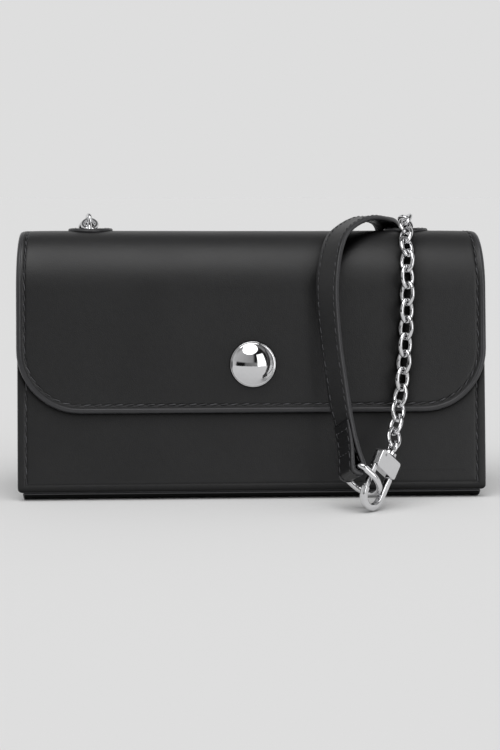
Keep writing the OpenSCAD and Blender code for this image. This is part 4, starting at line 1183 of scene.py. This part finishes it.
# %% Rounded blocks and their cut-outs
def rounded_block(name, size, corner_r, soft, body, place=(0, 0, 0)):
    """A block in the clasp's frame with rounded corners across its face and soft edges round both faces."""
    w, d, h = (v / 2 for v in size)
    corners = corner_points(range(0, 91, 15))
    levels = [(-d + soft * (1 - math.cos(a)), soft * (1 - math.sin(a))) for a in np.radians([0, 30, 60, 90])]
    levels += [(-y, inset) for y, inset in levels[::-1]]
    points = []
    for y, inset in levels:
        r = max(corner_r - inset, 0.05)
        points += [(sx * (w - corner_r) + r * math.cos(a), y, sz * (h - corner_r) + r * math.sin(a))
                   for sx, sz, a in corners]
    faces = tube(len(levels), len(corners))
    return make(name, on_clasp(np.array(points) + place), faces, [nickel], body)


block = rounded_block("clasp_block_cast", (block_w, block_d, block_h), 1.2, 0.35, "clasp")
channel_place = (-block_w / 2 + 1.45, 0, -2.55)
subtract(block, rounded_block("tool_channel", (5.2, 2.5, 12), 0.2, 0.05, "clasp", channel_place))
subtract(block, rounded_block("tool_bore", (3.3, 3.3, 6), 1.6, 0.05, "clasp", (0, 0, block_h / 2)))
flat_from_m2 = 2e-6
for face in block.data.polygons:
    face.use_smooth = face.area < flat_from_m2
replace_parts(block, "clasp_body")
print("the clasp's block has", len(block.data.polygons), "faces after its two cuts")

# %% Gate
pin_z = block_h / 2 - 1.6
gate_w, gate_d, gate_top, gate_low = 2.2, 1.6, pin_z + 1.25, tip_z + 0.2
gate_place = (-hook_r - hook_half_w + 0.1 + gate_w / 2, 0, (gate_top + gate_low) / 2)
gate = rounded_block("clasp_gate_cast", (gate_w, gate_d, gate_top - gate_low), 0.45, 0.25, "gate", gate_place)
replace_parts(gate, "clasp_gate")
print("the gate is", round(gate_top - gate_low, 1), "mm long")

# %% [markdown]
# ## Studio
#
# The bag stands on pale paper that runs on into a pale backdrop, which gets darker above. A wide soft light
# hangs over it, a little towards the camera and to the left, and draws the long highlight along the roll of
# the flap. The floor takes light like any paper, so it keeps the bag's shadow.
#
# The room has two looks. The camera and polished metal see its walls: the backdrop behind, and in front a
# dim hall with pale ends and a bright window on the right, which give the chrome its light and dark bands.
# Everything else gets a plain fill that is stronger from the front, from above and from the right.

# %% Floor
paper, tree, place = new_finish("backdrop_paper")
pulp = put(tree, "TexNoise", {"Vector": place, "Scale": 1000 / 3, "Detail": 3.0})
rough = put(tree, "MapRange", {"Value": pulp, "To Min": 0.85, "To Max": 0.95})
matt = put(tree, "BsdfPrincipled", {"Base Color": linear("#dadada"), "Roughness": rough,
           "Specular IOR Level": 0.0})
put(tree, "OutputMaterial", {"Surface": matt})
mesh = bpy.data.meshes.new("floor")
mesh.from_pydata([(-30, -30, 0), (30, -30, 0), (30, 30, 0), (-30, 30, 0)], [], [(0, 1, 2, 3)])
mesh.materials.append(paper)
floor = bpy.data.objects.new("floor", mesh)
scene.collection.objects.link(floor)
print("the floor is", paper.name)

# %% The directions of the room
room = bpy.data.worlds.new("studio_room")
room.use_nodes = True
tree = room.node_tree
tree.nodes.clear()
way = put(tree, "SeparateXYZ", {"Vector": put(tree, "TexCoord").outputs["Generated"]})
aside, ahead, height = (way.outputs[axis] for axis in "XYZ")
towards = put(tree, "Math", {0: ahead, 1: -1.0}, operation="MULTIPLY")
bearing = put(tree, "Math", {0: aside, 1: towards}, operation="ARCTAN2")
shares = {}
for name, value, low, high, at_low, at_high, blend in (
    ("window left", bearing, 0.32, 0.38, 0.0, 1.0, "LINEAR"),
    ("window right", bearing, 1.0, 0.94, 0.0, 1.0, "LINEAR"),
    ("window top", height, 0.74, 0.7, 0.0, 1.0, "LINEAR"),
    ("across", bearing, -math.pi / 2, math.pi / 2, 0.0, 1.0, "LINEAR"),
    ("upper hall", height, 0.2, 0.28, 0.0, 1.0, "LINEAR"),
    ("high", height, 0.4, 0.8, 0.0, 1.0, "SMOOTHSTEP"),
    ("behind", ahead, -0.2, 0.2, 0.0, 1.0, "SMOOTHSTEP"),
    ("front fill", ahead, 0.3, -0.5, 0.5, 1.0, "LINEAR"),
    ("top fill", height, 0.0, 0.5, 0.2, 0.78, "LINEAR"),
    ("right fill", aside, -0.2, 0.6, 0.9, 1.5, "LINEAR"),
):
    shares[name] = put(tree, "MapRange", {"Value": value, "From Min": low, "From Max": high,
                       "To Min": at_low, "To Max": at_high}, interpolation_type=blend)
products = {}
for name, factors in (("pane", ("window left", "window right", "window top")),
                      ("fill", ("front fill", "top fill", "right fill"))):
    pair = put(tree, "Math", {0: shares[factors[0]], 1: shares[factors[1]]}, operation="MULTIPLY")
    products[name] = put(tree, "Math", {0: pair, 1: shares[factors[2]]}, operation="MULTIPLY")
print("the room is split up by", len(shares), "ranges of direction")

# %% Walls, as the camera and the metal see them
low_stops = ((0.09, "#c8c8c8"), (0.13, "#161616"), (0.31, "#161616"), (0.34, "#6e6e6e"), (0.6, "#8a8a8a"),
             (0.82, "#202020"), (0.88, "#202020"), (0.93, "#b8b8b8"))
high_stops = ((0.1, "#bcbcbc"), (0.5, "#9a9a9a"), (0.55, "#1c1c1c"), (0.88, "#1c1c1c"), (0.93, "#8c8c8c"))
halls = []
for stops in (low_stops, high_stops):
    halls.append(put(tree, "ValToRGB", {"Fac": shares["across"]}))
    ramp = halls[-1].color_ramp
    ramp.elements.remove(ramp.elements[1])
    ramp.elements[0].position, ramp.elements[0].color = stops[0][0], linear(stops[0][1])
    for where, shade in stops[1:]:
        ramp.elements.new(where).color = linear(shade)
hall = put(tree, "Mix", {"Factor": shares["upper hall"], "A": halls[0], "B": halls[1]}, data_type="RGBA")
front_wall = put(tree, "Mix", {"Factor": products["pane"], "A": hall, "B": linear("#ffffff")},
                 data_type="RGBA")
rear_wall = put(tree, "Mix", {"Factor": shares["high"], "A": linear("#dedede"), "B": linear("#5c5c5c")},
                data_type="RGBA")
walls = put(tree, "Mix", {"Factor": shares["behind"], "A": front_wall, "B": rear_wall}, data_type="RGBA")
window_light = 2.4
daylight = put(tree, "MapRange", {"Value": products["pane"], "To Min": 1.0, "To Max": window_light})
shown = put(tree, "Background", {"Color": walls, "Strength": daylight})
print("the window shines at", window_light, "times the strength of the walls")

# %% Fill light, and which rays see what
fill = put(tree, "Background", {"Color": linear("#ffffff"), "Strength": products["fill"]})
seen_by = put(tree, "LightPath")
ray = seen_by.outputs["Is Camera Ray"]
for kind in ("Is Glossy Ray", "Is Transmission Ray"):
    ray = put(tree, "Math", {0: ray, 1: seen_by.outputs[kind]}, operation="MAXIMUM")
both = put(tree, "MixShader", {0: ray, 1: fill, 2: shown})
put(tree, "OutputWorld", {"Surface": both})
scene.world = room
print("the room's nodes:", len(tree.nodes))

# %% Overhead softbox
softbox_angle = 50
softbox = bpy.data.lights.new("overhead_softbox", "SUN")
softbox.energy = 1.5
softbox.angle = math.radians(softbox_angle)
overhead = bpy.data.objects.new("overhead_softbox", softbox)
overhead.rotation_euler = (math.radians(16), math.radians(-8), 0)
scene.collection.objects.link(overhead)
print("the softbox spans", softbox_angle, "degrees overhead")
